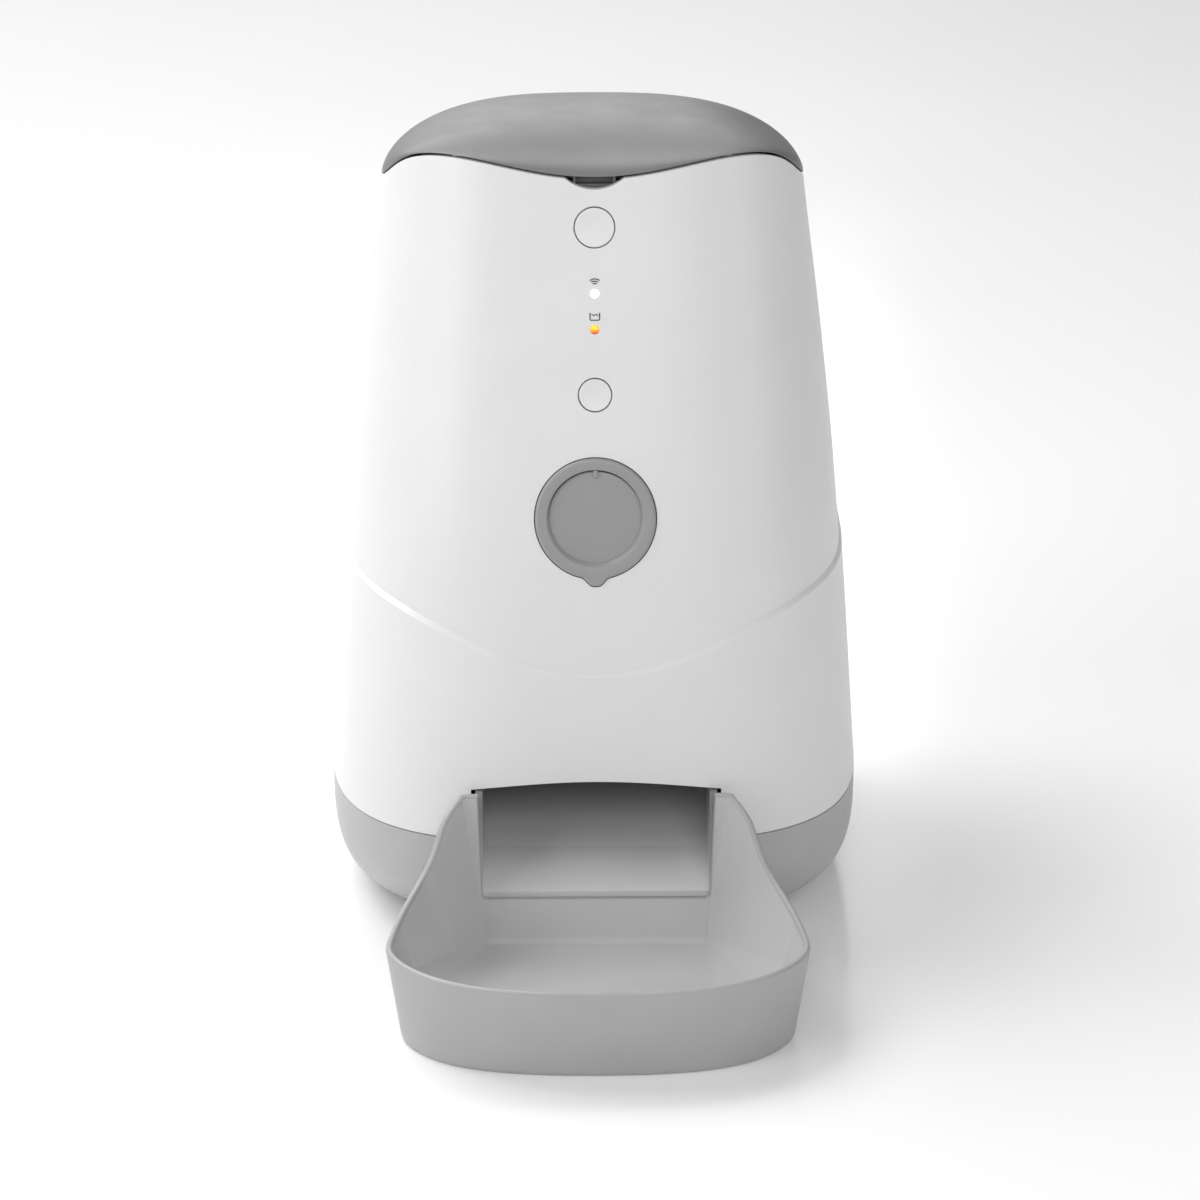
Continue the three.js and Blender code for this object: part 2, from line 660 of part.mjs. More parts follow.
function rotorHousing() {
  const outline = new THREE.Shape();
  const r = DRUM_R + WALL;
  const collar = INLET_HALF_Y + WALL;
  const corner = Math.acos(collar / r);
  outline.absarc(ROTOR_Y, ROTOR_Z, r, corner, Math.PI - corner, true);
  outline.lineTo(ROTOR_Y - collar, COLLAR_TOP);
  outline.lineTo(ROTOR_Y + collar, COLLAR_TOP);
  outline.closePath();
  const x = DRUM_HALF + WALL;
  return cut(
    alongX(outline, -x, x),
    rodX(DRUM_R, -DRUM_HALF, DRUM_HALF, 32).translate(0, ROTOR_Y, ROTOR_Z),
    box(-INLET_HALF_X, INLET_HALF_X, ROTOR_Y - INLET_HALF_Y, ROTOR_Y + INLET_HALF_Y, ROTOR_Z, COLLAR_TOP + 1),
    box(-INLET_HALF_X, INLET_HALF_X, ROTOR_Y - r - 1, CHUTE_END[0], CHUTE_END[1], ROTOR_Z - 2),
    rodX(AXLE_R + GAP, -x - 1, x + 1, 20).translate(0, ROTOR_Y, ROTOR_Z),
    rodX(2, -x - 1, x + 1, 12).translate(0, ROTOR_Y, LEVEL_Z),
  );
}

function rotor() {
  const hub = rodX(9, -ROTOR_HALF, ROTOR_HALF, 20);
  const axle = rodX(AXLE_R, -DRUM_HALF - WALL - 9, DRUM_HALF + WALL + 9, 16);
  const vanes = Array.from({ length: 6 }, (_, i) => (
    box(-ROTOR_HALF, ROTOR_HALF, -1.25, 1.25, 7, ROTOR_R).rotateX(i * Math.PI / 3)));
  return join(hub, axle, ...vanes);
}

// Straight-flanked gear about the X axis, one tooth centred on the +Y side when shift is 0.
function gear(teeth, shift, boreR, x0, x1) {
  const pitchR = GEAR_MODULE * teeth / 2;
  const root = pitchR - 1.2 * GEAR_MODULE;
  const tip = pitchR + 0.85 * GEAR_MODULE;
  const tooth = [[root, -0.31], [tip, -0.12], [tip, 0.12], [root, 0.31]];
  const corners = Array.from({ length: teeth }, (_, i) => tooth.map(([r, offset]) => {
    const angle = (i + shift + offset) * 2 * Math.PI / teeth;
    return new THREE.Vector2(r * Math.cos(angle), r * Math.sin(angle));
  }));
  const shape = new THREE.Shape(corners.flat());
  const bore = new THREE.Path();
  bore.absarc(0, 0, boreR, 0, 2 * Math.PI, true);
  shape.holes.push(bore);
  return alongX(shape, x0, x1);
}

const GEAR_X0 = DRUM_HALF + WALL + 1.5;
const GEAR_X1 = GEAR_X0 + GEAR_THICK;
const COVER_X1 = GEAR_X1 + 1.5 + WALL;
const MOTOR_X0 = COVER_X1 + GAP;
const MOTOR_Y = ROTOR_Y + GEAR_MODULE * (GEAR_TEETH + PINION_TEETH) / 2;

function gearCover() {
  const outline = new THREE.Shape();
  const inside = new THREE.Shape();
  const [bigR, smallR] = [22.5, 9.5];
  const tangent = Math.acos((bigR - smallR) / (MOTOR_Y - ROTOR_Y));
  for (const [shape, grow] of [[outline, WALL], [inside, 0]]) {
    shape.absarc(ROTOR_Y, ROTOR_Z, bigR + grow, tangent, 2 * Math.PI - tangent, false);
    shape.absarc(MOTOR_Y, ROTOR_Z, smallR + grow, -tangent, tangent, false);
    shape.closePath();
  }
  return cut(
    alongX(outline, GEAR_X0 - 1.2, COVER_X1),
    alongX(inside, GEAR_X0 - 2, COVER_X1 - WALL),
    rodX(AXLE_R + GAP, GEAR_X1, COVER_X1 + 1, 16).translate(0, ROTOR_Y, ROTOR_Z),
    rodX(MOTOR_SHAFT_R + 0.6, GEAR_X1, COVER_X1 + 1, 16).translate(0, MOTOR_Y, ROTOR_Z),
  );
}

function driveMotor() {
  const gearbox = rodX(9.2, MOTOR_X0, MOTOR_X0 + 12, 20);
  const can = rodX(11.5, MOTOR_X0 + 12 - GAP, MOTOR_X0 + 34, 20);
  return join(gearbox, can);
}

function pinion() {
  const teeth = gear(PINION_TEETH, 0, 1.2, GEAR_X0, GEAR_X1);
  return join(teeth, rodX(MOTOR_SHAFT_R, GEAR_X0, MOTOR_X0 - GAP, 12));
}

function indexCam() {
  const disc = rodX(14, -DRUM_HALF - WALL - 5.5, -DRUM_HALF - WALL - 2, 30);
  const notches = Array.from({ length: 6 }, (_, i) => (
    rodX(2.2, -60, -20, 10).translate(0, 14.4, 0).rotateX((i + 0.5) * Math.PI / 3)));
  const bore = rodX(AXLE_R + GAP, -60, -20, 16);
  return cut(disc, ...notches, bore);
}

// A switch whose lever follows the notches in the cam's rim.
function indexSwitch() {
  const x = -DRUM_HALF - WALL;
  const body = box(x - 7, x - 1, ROTOR_Y + 18, ROTOR_Y + 24, ROTOR_Z - 9, ROTOR_Z + 9);
  const lever = box(x - 5, x - 3, ROTOR_Y + 15.2, ROTOR_Y + 18.5, ROTOR_Z - 1, ROTOR_Z + 8);
  return join(body, lever);
}

function chute() {
  const [breakY, breakZ] = CHUTE_BREAK;
  const [endY, endZ] = CHUTE_END;
  const drumR = DRUM_R + WALL + 0.6;
  const start = Math.asin((endY - ROTOR_Y) / drumR) - Math.PI / 2;
  const side = (floorDrop, roofDrop, over) => {
    const shape = new THREE.Shape();
    shape.moveTo(CHUTE_FRONT - over, CHUTE_LIP - floorDrop);
    shape.lineTo(breakY, breakZ - floorDrop);
    shape.lineTo(endY + 2 * over, endZ - floorDrop + over);
    shape.absarc(ROTOR_Y, ROTOR_Z, drumR - 2 * over, start, -Math.PI, true);
    shape.lineTo(ROTOR_Y - drumR, ROTOR_Z + 3 - roofDrop);
    shape.lineTo(CHUTE_ROOF_Y, CHUTE_ROOF - roofDrop);
    return shape;
  };
  const outer = side(WALL, 0, 0);
  outer.lineTo(CHUTE_ROOF_Y, CHUTE_NOSE_TOP);
  outer.lineTo(CHUTE_FRONT, CHUTE_NOSE_TOP);
  const inner = side(0, WALL, 1);
  inner.lineTo(CHUTE_FRONT - 1, CHUTE_ROOF - WALL);
  return cut(
    alongX(outer, -CHUTE_HALF, CHUTE_HALF),
    alongX(inner, -CHUTE_HALF + WALL, CHUTE_HALF - WALL),
  );
}

// ---------------------------------------------------------------- bowl

function bowlRim() {
  const corner = BOWL_RIM.map(([x, y, z]) => new THREE.Vector3(x, y, z));
  const sweep = new THREE.CatmullRomCurve3(corner, false, 'centripetal').getPoints(18);
  const [, , top] = BOWL_RIM[0];
  const half = [...[15, 30, 43].map((x) => new THREE.Vector3(x, BOWL_BACK, top)), ...sweep];
  const mirror = half.slice(0, -1).reverse().map((p) => new THREE.Vector3(-p.x, p.y, p.z));
  return [new THREE.Vector3(0, BOWL_BACK, top), ...half, ...mirror];
}

// Moves a closed plan outline inwards, square to its own edge.
function insetPlan(points, distance) {
  return points.map((p, i) => {
    const before = points.at(i - 1);
    const after = points[(i + 1) % points.length];
    const along = new THREE.Vector2(after.x - before.x, after.y - before.y).normalize();
    return new THREE.Vector3(p.x + along.y * distance, p.y - along.x * distance, p.z);
  });
}

// The opening in the bowl's back, between its two posts.
function bowlMouth() {
  const mouth = new THREE.Shape();
  mouth.moveTo(-MOUTH_HALF[1], 70);
  mouth.lineTo(-MOUTH_HALF[0], BOWL_LIP + 1.5);
  mouth.lineTo(-MOUTH_HALF[0] + 1.5, BOWL_LIP);
  mouth.lineTo(MOUTH_HALF[0] - 1.5, BOWL_LIP);
  mouth.lineTo(MOUTH_HALF[0], BOWL_LIP + 1.5);
  mouth.lineTo(MOUTH_HALF[1], 70);
  mouth.closePath();
  const geometry = new THREE.ExtrudeGeometry(mouth, { depth: BOWL_WALL + 1.3, bevelEnabled: false });
  return geometry.rotateX(Math.PI / 2).translate(0, BOWL_BACK + 1, 0);
}

function bowl() {
  const rim = bowlRim();
  const inner = insetPlan(rim, BOWL_WALL);
  // Draws an outline in towards the bowl's middle and lowers it to z; the front flattens as it goes.
  const shrink = (points, factor, z) => points.map((p) => {
    const ahead = Math.max(0, BOWL_MIDDLE - p.y);
    const flatten = 0.75 + 1.25 * (ahead / BOWL_REACH) ** 2;
    return new THREE.Vector3(p.x * factor, p.y + ahead * (1 - factor) * flatten, Math.min(z, p.z));
  });
  const tray = loft([
    shrink(inner, 0.88, BOWL_FLOOR - BOWL_WALL),
    shrink(inner, 0.89, 0),
    shrink(rim, 0.92, 0),
    shrink(rim, 0.94, 4),
    rim,
    inner,
    shrink(inner, 0.92, BOWL_FLOOR + 5),
    shrink(inner, 0.84, BOWL_FLOOR),
  ].map((r) => [...r].reverse()));
  return cut(tray, bowlMouth());
}

// ---------------------------------------------------------------- controls

function button(radius) {
  const cap = [[0, 0], [radius - 0.5, 0], [radius, 0.5], [radius, 3.1]];
  const flange = [[radius + 1.4, 3.1], [radius + 1.4, 4.4], [2.5, 4.4]];
  return turned([...cap, ...flange, [2.5, 7], [0, 7]], 20);
}

const plunger = () => rodY(1.7, 7.3, 10.4, 14);
const keySwitch = () => cut(box(-3, 3, 8.7, KEY_BOARD_DEPTH - GAP, -3, 3), rodY(2, 8, 11.4, 14));

function lens() {
  const flange = [[LENS_R, 2.9], [LENS_R + 1.1, 2.9], [LENS_R + 1.1, 4], [LENS_R, 4]];
  return turned([[0, 0], [LENS_R, 0], ...flange, [LENS_R, 9.5], [0, 9.5]], 14);
}

const lamp = () => box(-1.6, 1.6, 10, KEY_BOARD_DEPTH - GAP, -1.6, 1.6);

function keyBoard() {
  return box(-14, 14, KEY_BOARD_DEPTH, KEY_BOARD_DEPTH + 1.6, -9, alongControls(WIFI_BUTTON_Z) + 3.6);
}

function portBezel() {
  const profile = [[0, 3.2], [CAP_R + 0.4, 3.2], [CAP_R + 0.4, -0.6], [PORT_R - 0.5, -0.6], [PORT_R, -0.1],
    [PORT_R, 5.2], [PORT_R + 2, 5.2], [PORT_R + 2, 6.8], [0, 6.8]];
  return join(turned(profile, 32), portTab(0, -0.6, 2.4));
}

const portCap = () => turned([[0, 0.8], [CAP_R - 0.4, 0.8], [CAP_R, 1.2], [CAP_R, 2.9], [0, 2.9]], 32);

function latch() {
  const plate = box(-LATCH_HALF, LATCH_HALF, LATCH_Y, LATCH_Y + LATCH_THICK, ...LATCH_Z);
  const nose = box(-LATCH_HALF + 1.6, LATCH_HALF - 1.6, LATCH_Y - 0.2, LATCH_Y + 1, ...NOSE_Z);
  return join(plate, nose);
}

class Helix extends THREE.Curve {
  constructor(radius, length, turns) {
    super();
    Object.assign(this, { radius, length, turns });
  }

  getPoint(t, target = new THREE.Vector3()) {
    const angle = 2 * Math.PI * this.turns * t;
    return target.set(this.radius * Math.cos(angle), this.length * t, this.radius * Math.sin(angle));
  }
}

function latchSpring() {
  const y = LATCH_Y + LATCH_THICK + 0.7;
  const length = section(SPRING_Z).front + BIN_FRONT_INSET - 0.8 - y;
  const wire = new THREE.Shape().absarc(0, 0, 0.4, 0, 2 * Math.PI, false);
  const path = new Helix(SPRING_R, length, 4);
  const geometry = new THREE.ExtrudeGeometry(wire, { extrudePath: path, steps: 32, curveSegments: 3 });
  return geometry.translate(0, y, SPRING_Z);
}

// ---------------------------------------------------------------- assembly

add('body_shell', bodyShell(), WHITE);
add('base_housing', baseHousing(), BASE_GREY);
add('battery_door', batteryDoor(), BASE_GREY);
for (const [place, [x, y]] of Object.entries(FEET)) {
  const foot = turned([[0, 0], [FOOT_R - 1, 0], [FOOT_R, 1], [FOOT_R, 4], [0, 4]], 20).rotateX(Math.PI / 2);
  add(`foot_${place}`, foot, RUBBER).position.set(x, y, 0);
}
SCREWS.forEach(([x, y], i) => add(`base_screw_${i + 1}`, screw(), STEEL).position.set(x, y, 0));
for (let i = 0; i < 3; i++) {
  const battery = add(`battery_${i + 1}`, cell(), CELL);
  battery.position.set(0, CELL_FIRST_Y + i * CELL_PITCH, CELL_Z);
  battery.rotation.z = i % 2 * Math.PI;
}
const contactX = BAY_HALF_X - 2.4;
add('contact_plate_left', box(-contactX, -contactX + 0.8, BAY_FRONT + 5, BAY_BACK - 5, 14, 36), COPPER);
add('contact_plate_right', box(contactX - 0.8, contactX, BAY_FRONT + 5, BAY_BACK - 5, 14, 36), COPPER);
add('power_inlet', powerSocket(), DARK).position.set(...SOCKET);

add('lid', lid(), LID_GREY);
add('lid_liner', lidLiner(), LINER);
add('lid_seal', lidSeal(), SEAL);
add('desiccant_box', desiccantBox(), LINER);
add('desiccant_cover', box(-18, 18, 44, 76, 265.5, 267.5), LINER);
const pinEnd = HINGE_HALF - PIN_END - GAP;
add('hinge_pin', rodX(HINGE_PIN_R, -pinEnd, pinEnd, 16).translate(0, HINGE_Y, HINGE_Z), STEEL);
add('lid_latch', latch(), DARK);
add('latch_spring', latchSpring(), STEEL);

for (const [name, group, radius] of [['wifi', wifiKey, WIFI_BUTTON_R], ['feed', feedKey, FEED_BUTTON_R]]) {
  add(`${name}_button`, button(radius), WHITE, group);
  add(`${name}_plunger`, plunger(), DARK, group);
  add(`${name}_switch`, keySwitch(), DARK, group);
}
for (const [name, group, material] of [['wifi', wifiLamp, LENS_WHITE], ['food', foodLamp, LENS_AMBER]]) {
  add(`${name}_lens`, lens(), material, group);
  add(`${name}_led`, lamp(), material, group);
}
add('key_board', keyBoard(), BOARD, feedKey);
add('port_bezel', portBezel(), LID_GREY, port);
add('port_cap', portCap(), LID_GREY, port);

add('hopper', hopper(), LINER);
for (const [name, side] of [['level_emitter', -1], ['level_receiver', 1]]) {
  const x = side * (DRUM_HALF + WALL + GAP + 2.5);
  add(name, box(x - 2.5, x + 2.5, ROTOR_Y - 4, ROTOR_Y + 4, LEVEL_Z - 2.5, LEVEL_Z + 2.5), DARK);
}
add('rotor_housing', rotorHousing(), LINER);
add('rotor', rotor(), BASE_GREY).position.set(0, ROTOR_Y, ROTOR_Z);
const rotorGear = gear(GEAR_TEETH, 0.5, AXLE_R + GAP, GEAR_X0, GEAR_X1);
add('rotor_gear', rotorGear, GEAR).position.set(0, ROTOR_Y, ROTOR_Z);
add('motor_pinion', pinion(), GEAR).position.set(0, MOTOR_Y, ROTOR_Z);
add('gear_cover', gearCover(), LINER);
add('drive_motor', driveMotor(), STEEL).position.set(0, MOTOR_Y, ROTOR_Z);
add('index_cam', indexCam(), GEAR).position.set(0, ROTOR_Y, ROTOR_Z);
add('index_switch', indexSwitch(), DARK);
add('chute', chute(), BOWL_GREY);
add('bowl', bowl(), BOWL_GREY);

add('main_board', box(-66, -64.4, 10, 90, 56, 110), BOARD);
add('radio_module', box(-64.1, -61, 60, 78, 80, 105), STEEL);

export default feeder;
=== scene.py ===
from math import cos, hypot, pi, radians, sin

import bpy
from mathutils import Matrix, Vector


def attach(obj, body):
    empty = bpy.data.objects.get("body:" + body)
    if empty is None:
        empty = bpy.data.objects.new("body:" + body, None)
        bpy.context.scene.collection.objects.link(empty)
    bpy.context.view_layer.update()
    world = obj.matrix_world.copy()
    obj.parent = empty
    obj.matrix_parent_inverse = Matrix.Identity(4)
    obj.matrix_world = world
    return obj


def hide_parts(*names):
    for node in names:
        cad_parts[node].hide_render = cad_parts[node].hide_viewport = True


# Finished surfaces and materials of the automatic pet feeder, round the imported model.
# Lengths are in millimetres until a mesh is made, and in metres for the camera and the lights.
# +Z is up and -Y is the front.

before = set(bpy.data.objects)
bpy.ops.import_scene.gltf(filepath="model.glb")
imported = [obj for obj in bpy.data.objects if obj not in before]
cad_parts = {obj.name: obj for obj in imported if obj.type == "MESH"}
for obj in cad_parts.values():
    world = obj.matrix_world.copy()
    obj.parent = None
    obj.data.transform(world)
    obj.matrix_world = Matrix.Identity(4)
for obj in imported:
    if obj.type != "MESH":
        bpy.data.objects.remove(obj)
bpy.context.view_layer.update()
scene = bpy.context.scene
MM = 0.001

# ---------------------------------------------------------------- driving dimensions

AROUND = 288                    # points round the body
WALL = 2.5                      # moulded wall
GAP = 0.3                       # clearance between pieces
LIP_R = 0.45                    # rounding of a moulded edge
BASE_TOP = 46
BASE_BOTTOM = 3
CROWN_HEIGHT = 283
CROWN_Y = 45
CROWN_FALL = 0.0008
LID_CENTRE_Y = 58
LID_PLAN_POWER = 3.2
LID_RISE_POWER = 1.86

# Height, half width, front y, back y and power of the body's superellipse.
STATIONS = [
    (46, 95.2, -50.2, 146.5, 3.2),
    (75, 93.2, -50.6, 145.6, 3.1),
    (110, 90.9, -45.0, 144.2, 3.0),
    (160, 87.1, -33.8, 141.0, 2.9),
    (205, 82.3, -20.0, 137.0, 2.8),
    (258, 75.6, -3.5, 129.0, 2.74),
    (285, 72.9, 4.0, 124.0, 2.7),
]
# Height of the lid's seam against y, before the dip at the front.
SEAM_STATIONS = [(-5, 279.5), (11, 278.8), (21, 276), (39, 265.6), (67, 256), (97, 250), (140, 247.5)]
SEAM_DIP = 6.2
SEAM_DIP_HALF_WIDTH = 58

LEDGE_HEIGHT = 130.3
LEDGE_DIP = 23
LEDGE_DIP_HALF_WIDTH = 95
LEDGE_FADE = (20, 58)
SKIRT_FRONT = 1.8
SKIRT_BACK = 1.0
SKIRT_POWER = 3.1

# How far the base's outer wall is tucked in, by height from its underside up; at 1, by these lengths.
BASE_WALL = [(3, 1.3), (6, 1), (12, 0.6), (20, 0.25), (30, 0.04), (45.7, 0)]
TUCK_SIDE, TUCK_FRONT, TUCK_BACK = 7.2, 18.5, 7.6
BASE_TOP_POWER, BASE_TUCK_POWER = 3.2, 2.6          # powers of its outline at the top and at the tuck

OUTLET_HALF_WIDTH = 44
OUTLET_TOP = 69.6
OUTLET_CORNER_TOP = 65.5
NOTCH_HALF_WIDTH = 9.7
NOTCH_DEPTH = 3.3
LATCH_HALF, LATCH_Z, LATCH_DEPTH = 7.6, (259, 273.4), 4.1
CATCH_HALF, CATCH_Z, CATCH_DEPTH = 7.4, (269.2, 274.3), (2.5, 3.2)      # the lid's loop before the latch
CATCH_SIDE, CATCH_SILL = 1, 1.4                     # thickness of the loop's sides and its bottom

CONTROLS_LEAN = 0.302
PORT_LEAN = 0.27
WIFI_BUTTON_Z, WIFI_BUTTON_R = 257.1, 6.85
FEED_BUTTON_Z, FEED_BUTTON_R = 201.9, 5.6
WIFI_LENS_Z, FOOD_LENS_Z, LENS_R = 235.3, 223.5, 1.5
WIFI_MARK_Z, FOOD_MARK_Z = 238.7, 227.8
PORT_Z, PORT_R, CAP_R = 160.9, 21.05, 16.5
PORT_STEPS = 160                # points round the port

HINGE_Y, HINGE_Z, KNUCKLE_R = 135.2, 248.7, 4.3
LID_KNUCKLE, HINGE_HALF = 25, 40        # half lengths of the lid's knuckle and the whole hinge
KNUCKLE_GAP = 0.4

BOWL_BACK, BOWL_LIP, BOWL_WALL = -53.4, 26, 2.4
BOWL_MIDDLE = -98
BOWL_REACH = 50.3               # from the middle to the front of the rim
BOWL_FLOOR = 9
# Half of the bowl's rim, from the back corner round to the middle of the front.
BOWL_RIM = [
    (48.2, -54.5, 66), (54.1, -62, 60), (58.7, -70, 49), (62.7, -76, 43),
    (67.5, -88, 39), (71.4, -103, 36), (72.2, -114, 35), (67.9, -123.5, 34.5),
    (56.8, -135, 34.5), (40.9, -143, 34.5), (20.5, -147.2, 34.6), (0, -148.3, 34.8),
]

MOUTH_HALF = (40.1, 41.7)       # half width of the bowl's mouth at its sill and its top
MOUTH_CORNER_R, MOUTH_TOP = 1.6, 72
# Depth into the wall and extra width of the mouth's rolled edge, the same on both faces.
MOUTH_ROLL = [(-0.7, 1.2), (0, 0.55), (0.15, 0.3), (0.6, 0.02)]
BOWL_CORNER_X = 38.9            # the floor's back corners
BOWL_COVE = [(63.1, 20), (53.3, 13), (41.4, 9)]     # x and z of the cove's creases at the bowl's middle
BOWL_FILLET = [(0, 2.2), (0.5, 0.6), (1.9, 0)]      # setback and height of the small fillet at its back

FOOT_R = 8
FEET = {"front_left": (-62, 1), "front_right": (62, 1), "rear_left": (-62, 118), "rear_right": (62, 118)}
SCREWS = [(-76, 25), (76, 25), (-74, 95), (74, 95)]
SCREW_WELL_R, SCREW_WELL_Z = 4.2, 7.5
SOCKET = (48, 141.8, 30)
SOCKET_R = 7                    # radius of its flange
DOOR = (-35, 35, 22.9, 132.1)   # the battery door's opening
DOOR_GAP = 0.4
THUMB_R = 5                     # the door's thumb groove
CELL_SLEEVE = 60                # length of a battery's printed sleeve

# ---------------------------------------------------------------- camera

camera_data = bpy.data.cameras.new("camera")
camera_data.sensor_width = 36
camera_data.lens = 130.85
camera_data.clip_end = 50
camera = bpy.data.objects.new("camera", camera_data)
camera.location = (-0.0159, -1.4517, 0.6893)
camera.rotation_euler = (radians(68.5), 0, radians(-0.705))
scene.collection.objects.link(camera)
scene.camera = camera

# ---------------------------------------------------------------- node helpers


def new_material(name):
    made = bpy.data.materials.new(name)
    made.use_nodes = True
    return made, made.node_tree, made.node_tree.nodes["Principled BSDF"]


def object_coordinates(tree, stretch=(1, 1, 1)):
    place = tree.nodes.new("ShaderNodeMapping")
    place.inputs["Scale"].default_value = stretch
    tree.links.new(tree.nodes.new("ShaderNodeTexCoord").outputs["Object"], place.inputs["Vector"])
    return place.outputs["Vector"]


def noise(tree, vector, scale, detail=3.0):
    made = tree.nodes.new("ShaderNodeTexNoise")
    made.inputs["Scale"].default_value = scale
    made.inputs["Detail"].default_value = detail
    tree.links.new(vector, made.inputs["Vector"])
    return made.outputs["Fac"]


def ramp(tree, value, *stops):
    """Colours at positions along value."""
    made = tree.nodes.new("ShaderNodeValToRGB")
    while len(made.color_ramp.elements) < len(stops):
        made.color_ramp.elements.new(0.5)
    for element, (position, colour) in zip(made.color_ramp.elements, stops):
        element.position = position
        element.color = (*colour, 1)
    tree.links.new(value, made.inputs["Fac"])
    return made.outputs["Color"]


def spread(tree, value, low, high):
    """Maps the middle of a noise's range to low...high."""
    made = tree.nodes.new("ShaderNodeMapRange")
    made.inputs["From Min"].default_value = 0.3
    made.inputs["From Max"].default_value = 0.7
    made.inputs["To Min"].default_value = low
    made.inputs["To Max"].default_value = high
    tree.links.new(value, made.inputs["Value"])
    return made.outputs["Result"]


def bump(tree, bsdf, height, strength, distance=0.1 * MM):
    made = tree.nodes.new("ShaderNodeBump")
    made.inputs["Strength"].default_value = strength
    made.inputs["Distance"].default_value = distance
    tree.links.new(height, made.inputs["Height"])
    tree.links.new(made.outputs["Normal"], bsdf.inputs["Normal"])


def plastic(name, colour, roughness, mottle=0.03, grain=1800, relief=0.06):
    """Moulded plastic: faint flow mottling, a fine spark-eroded grain and uneven gloss."""
    made, tree, bsdf = new_material(name)
    where = object_coordinates(tree)
    dark, light = [[c * (1 + side * mottle) for c in colour] for side in (-1, 1)]
    tree.links.new(ramp(tree, noise(tree, where, 35), (0.35, dark), (0.65, light)), bsdf.inputs["Base Color"])
    gloss = spread(tree, noise(tree, where, 90), roughness - 0.04, roughness + 0.04)
    tree.links.new(gloss, bsdf.inputs["Roughness"])
    bump(tree, bsdf, noise(tree, where, grain, 2), relief)
    return made


def chute_plastic(name):
    """Light grey at the chute's lip and darker inwards: a painted shade that deepens the duct's own."""
    made, tree, bsdf = new_material(name)
    where = object_coordinates(tree)
    split = tree.nodes.new("ShaderNodeSeparateXYZ")
    tree.links.new(where, split.inputs["Vector"])
    along = tree.nodes.new("ShaderNodeMapRange")
    along.inputs["From Min"].default_value = 26 * MM
    along.inputs["From Max"].default_value = 66 * MM
    tree.links.new(split.outputs["Z"], along.inputs["Value"])
    uneven = tree.nodes.new("ShaderNodeMath")
    uneven.operation = "ADD"
    tree.links.new(along.outputs["Result"], uneven.inputs[0])
    tree.links.new(spread(tree, noise(tree, where, 60), -0.015, 0.015), uneven.inputs[1])
    light, middle, deep = [(c, c, c) for c in (0.8, 0.5, 0.3)]
    colour = ramp(tree, uneven.outputs["Value"], (0.0, light), (0.25, middle), (0.8, deep))
    tree.links.new(colour, bsdf.inputs["Base Color"])
    tree.links.new(spread(tree, noise(tree, where, 90), 0.32, 0.42), bsdf.inputs["Roughness"])
    bump(tree, bsdf, noise(tree, where, 1800, 2), 0.04)
    return made


def metal(name, colour, roughness, stretch=(1, 1, 30)):
    """Brushed or drawn metal, its fine lines along the axis that isn't stretched."""
    made, tree, bsdf = new_material(name)
    lines = noise(tree, object_coordinates(tree, stretch), 400, 4)
    dark = [c * 0.85 for c in colour]
    tree.links.new(ramp(tree, lines, (0.3, dark), (0.7, colour)), bsdf.inputs["Base Color"])
    tree.links.new(spread(tree, lines, roughness - 0.08, roughness + 0.1), bsdf.inputs["Roughness"])
    bump(tree, bsdf, lines, 0.15, 0.05 * MM)
    bsdf.inputs["Metallic"].default_value = 1.0
    return made


def rubber(name, colour):
    made, tree, bsdf = new_material(name)
    where = object_coordinates(tree)
    dark = [c * 0.7 for c in colour]
    tree.links.new(ramp(tree, noise(tree, where, 250), (0.3, dark), (0.7, colour)), bsdf.inputs["Base Color"])
    tree.links.new(spread(tree, noise(tree, where, 120), 0.7, 0.9), bsdf.inputs["Roughness"])
    bump(tree, bsdf, noise(tree, where, 1200, 2), 0.25)
    return made


def circuit_board(name):
    """Solder mask over copper tracks, with tinned pads where the tracks meet."""
    made, tree, bsdf = new_material(name)
    where = object_coordinates(tree)
    tracks = tree.nodes.new("ShaderNodeTexVoronoi")
    tracks.feature = "DISTANCE_TO_EDGE"
    tracks.inputs["Scale"].default_value = 260
    tree.links.new(where, tracks.inputs["Vector"])
    mask, track, pad = (0.012, 0.09, 0.035), (0.02, 0.16, 0.06), (0.6, 0.58, 0.5)
    colour = ramp(tree, tracks.outputs["Distance"], (0.0, pad), (0.02, track), (0.09, track), (0.11, mask))
    tree.links.new(colour, bsdf.inputs["Base Color"])
    tree.links.new(spread(tree, noise(tree, where, 200), 0.25, 0.45), bsdf.inputs["Roughness"])
    bump(tree, bsdf, tracks.outputs["Distance"], 0.2)
    return made


def battery_jacket(name):
    """Printed sleeve, dark with a coppery band at each cell's ends."""
    made, tree, bsdf = new_material(name)
    split = tree.nodes.new("ShaderNodeSeparateXYZ")
    where = object_coordinates(tree, (1 / (CELL_SLEEVE * MM), 1, 1))
    tree.links.new(where, split.inputs["Vector"])
    away = tree.nodes.new("ShaderNodeMath")
    away.operation = "ABSOLUTE"
    tree.links.new(split.outputs["X"], away.inputs[0])
    dark, copper, tin = (0.035, 0.038, 0.045), (0.42, 0.2, 0.08), (0.55, 0.55, 0.55)
    stops = [(0.0, dark), (0.3, dark), (0.32, copper), (0.47, copper), (0.485, tin)]
    tree.links.new(ramp(tree, away.outputs["Value"], *stops), bsdf.inputs["Base Color"])
    tree.links.new(spread(tree, noise(tree, where, 60), 0.25, 0.4), bsdf.inputs["Roughness"])
    bsdf.inputs["Metallic"].default_value = 0.6
    return made


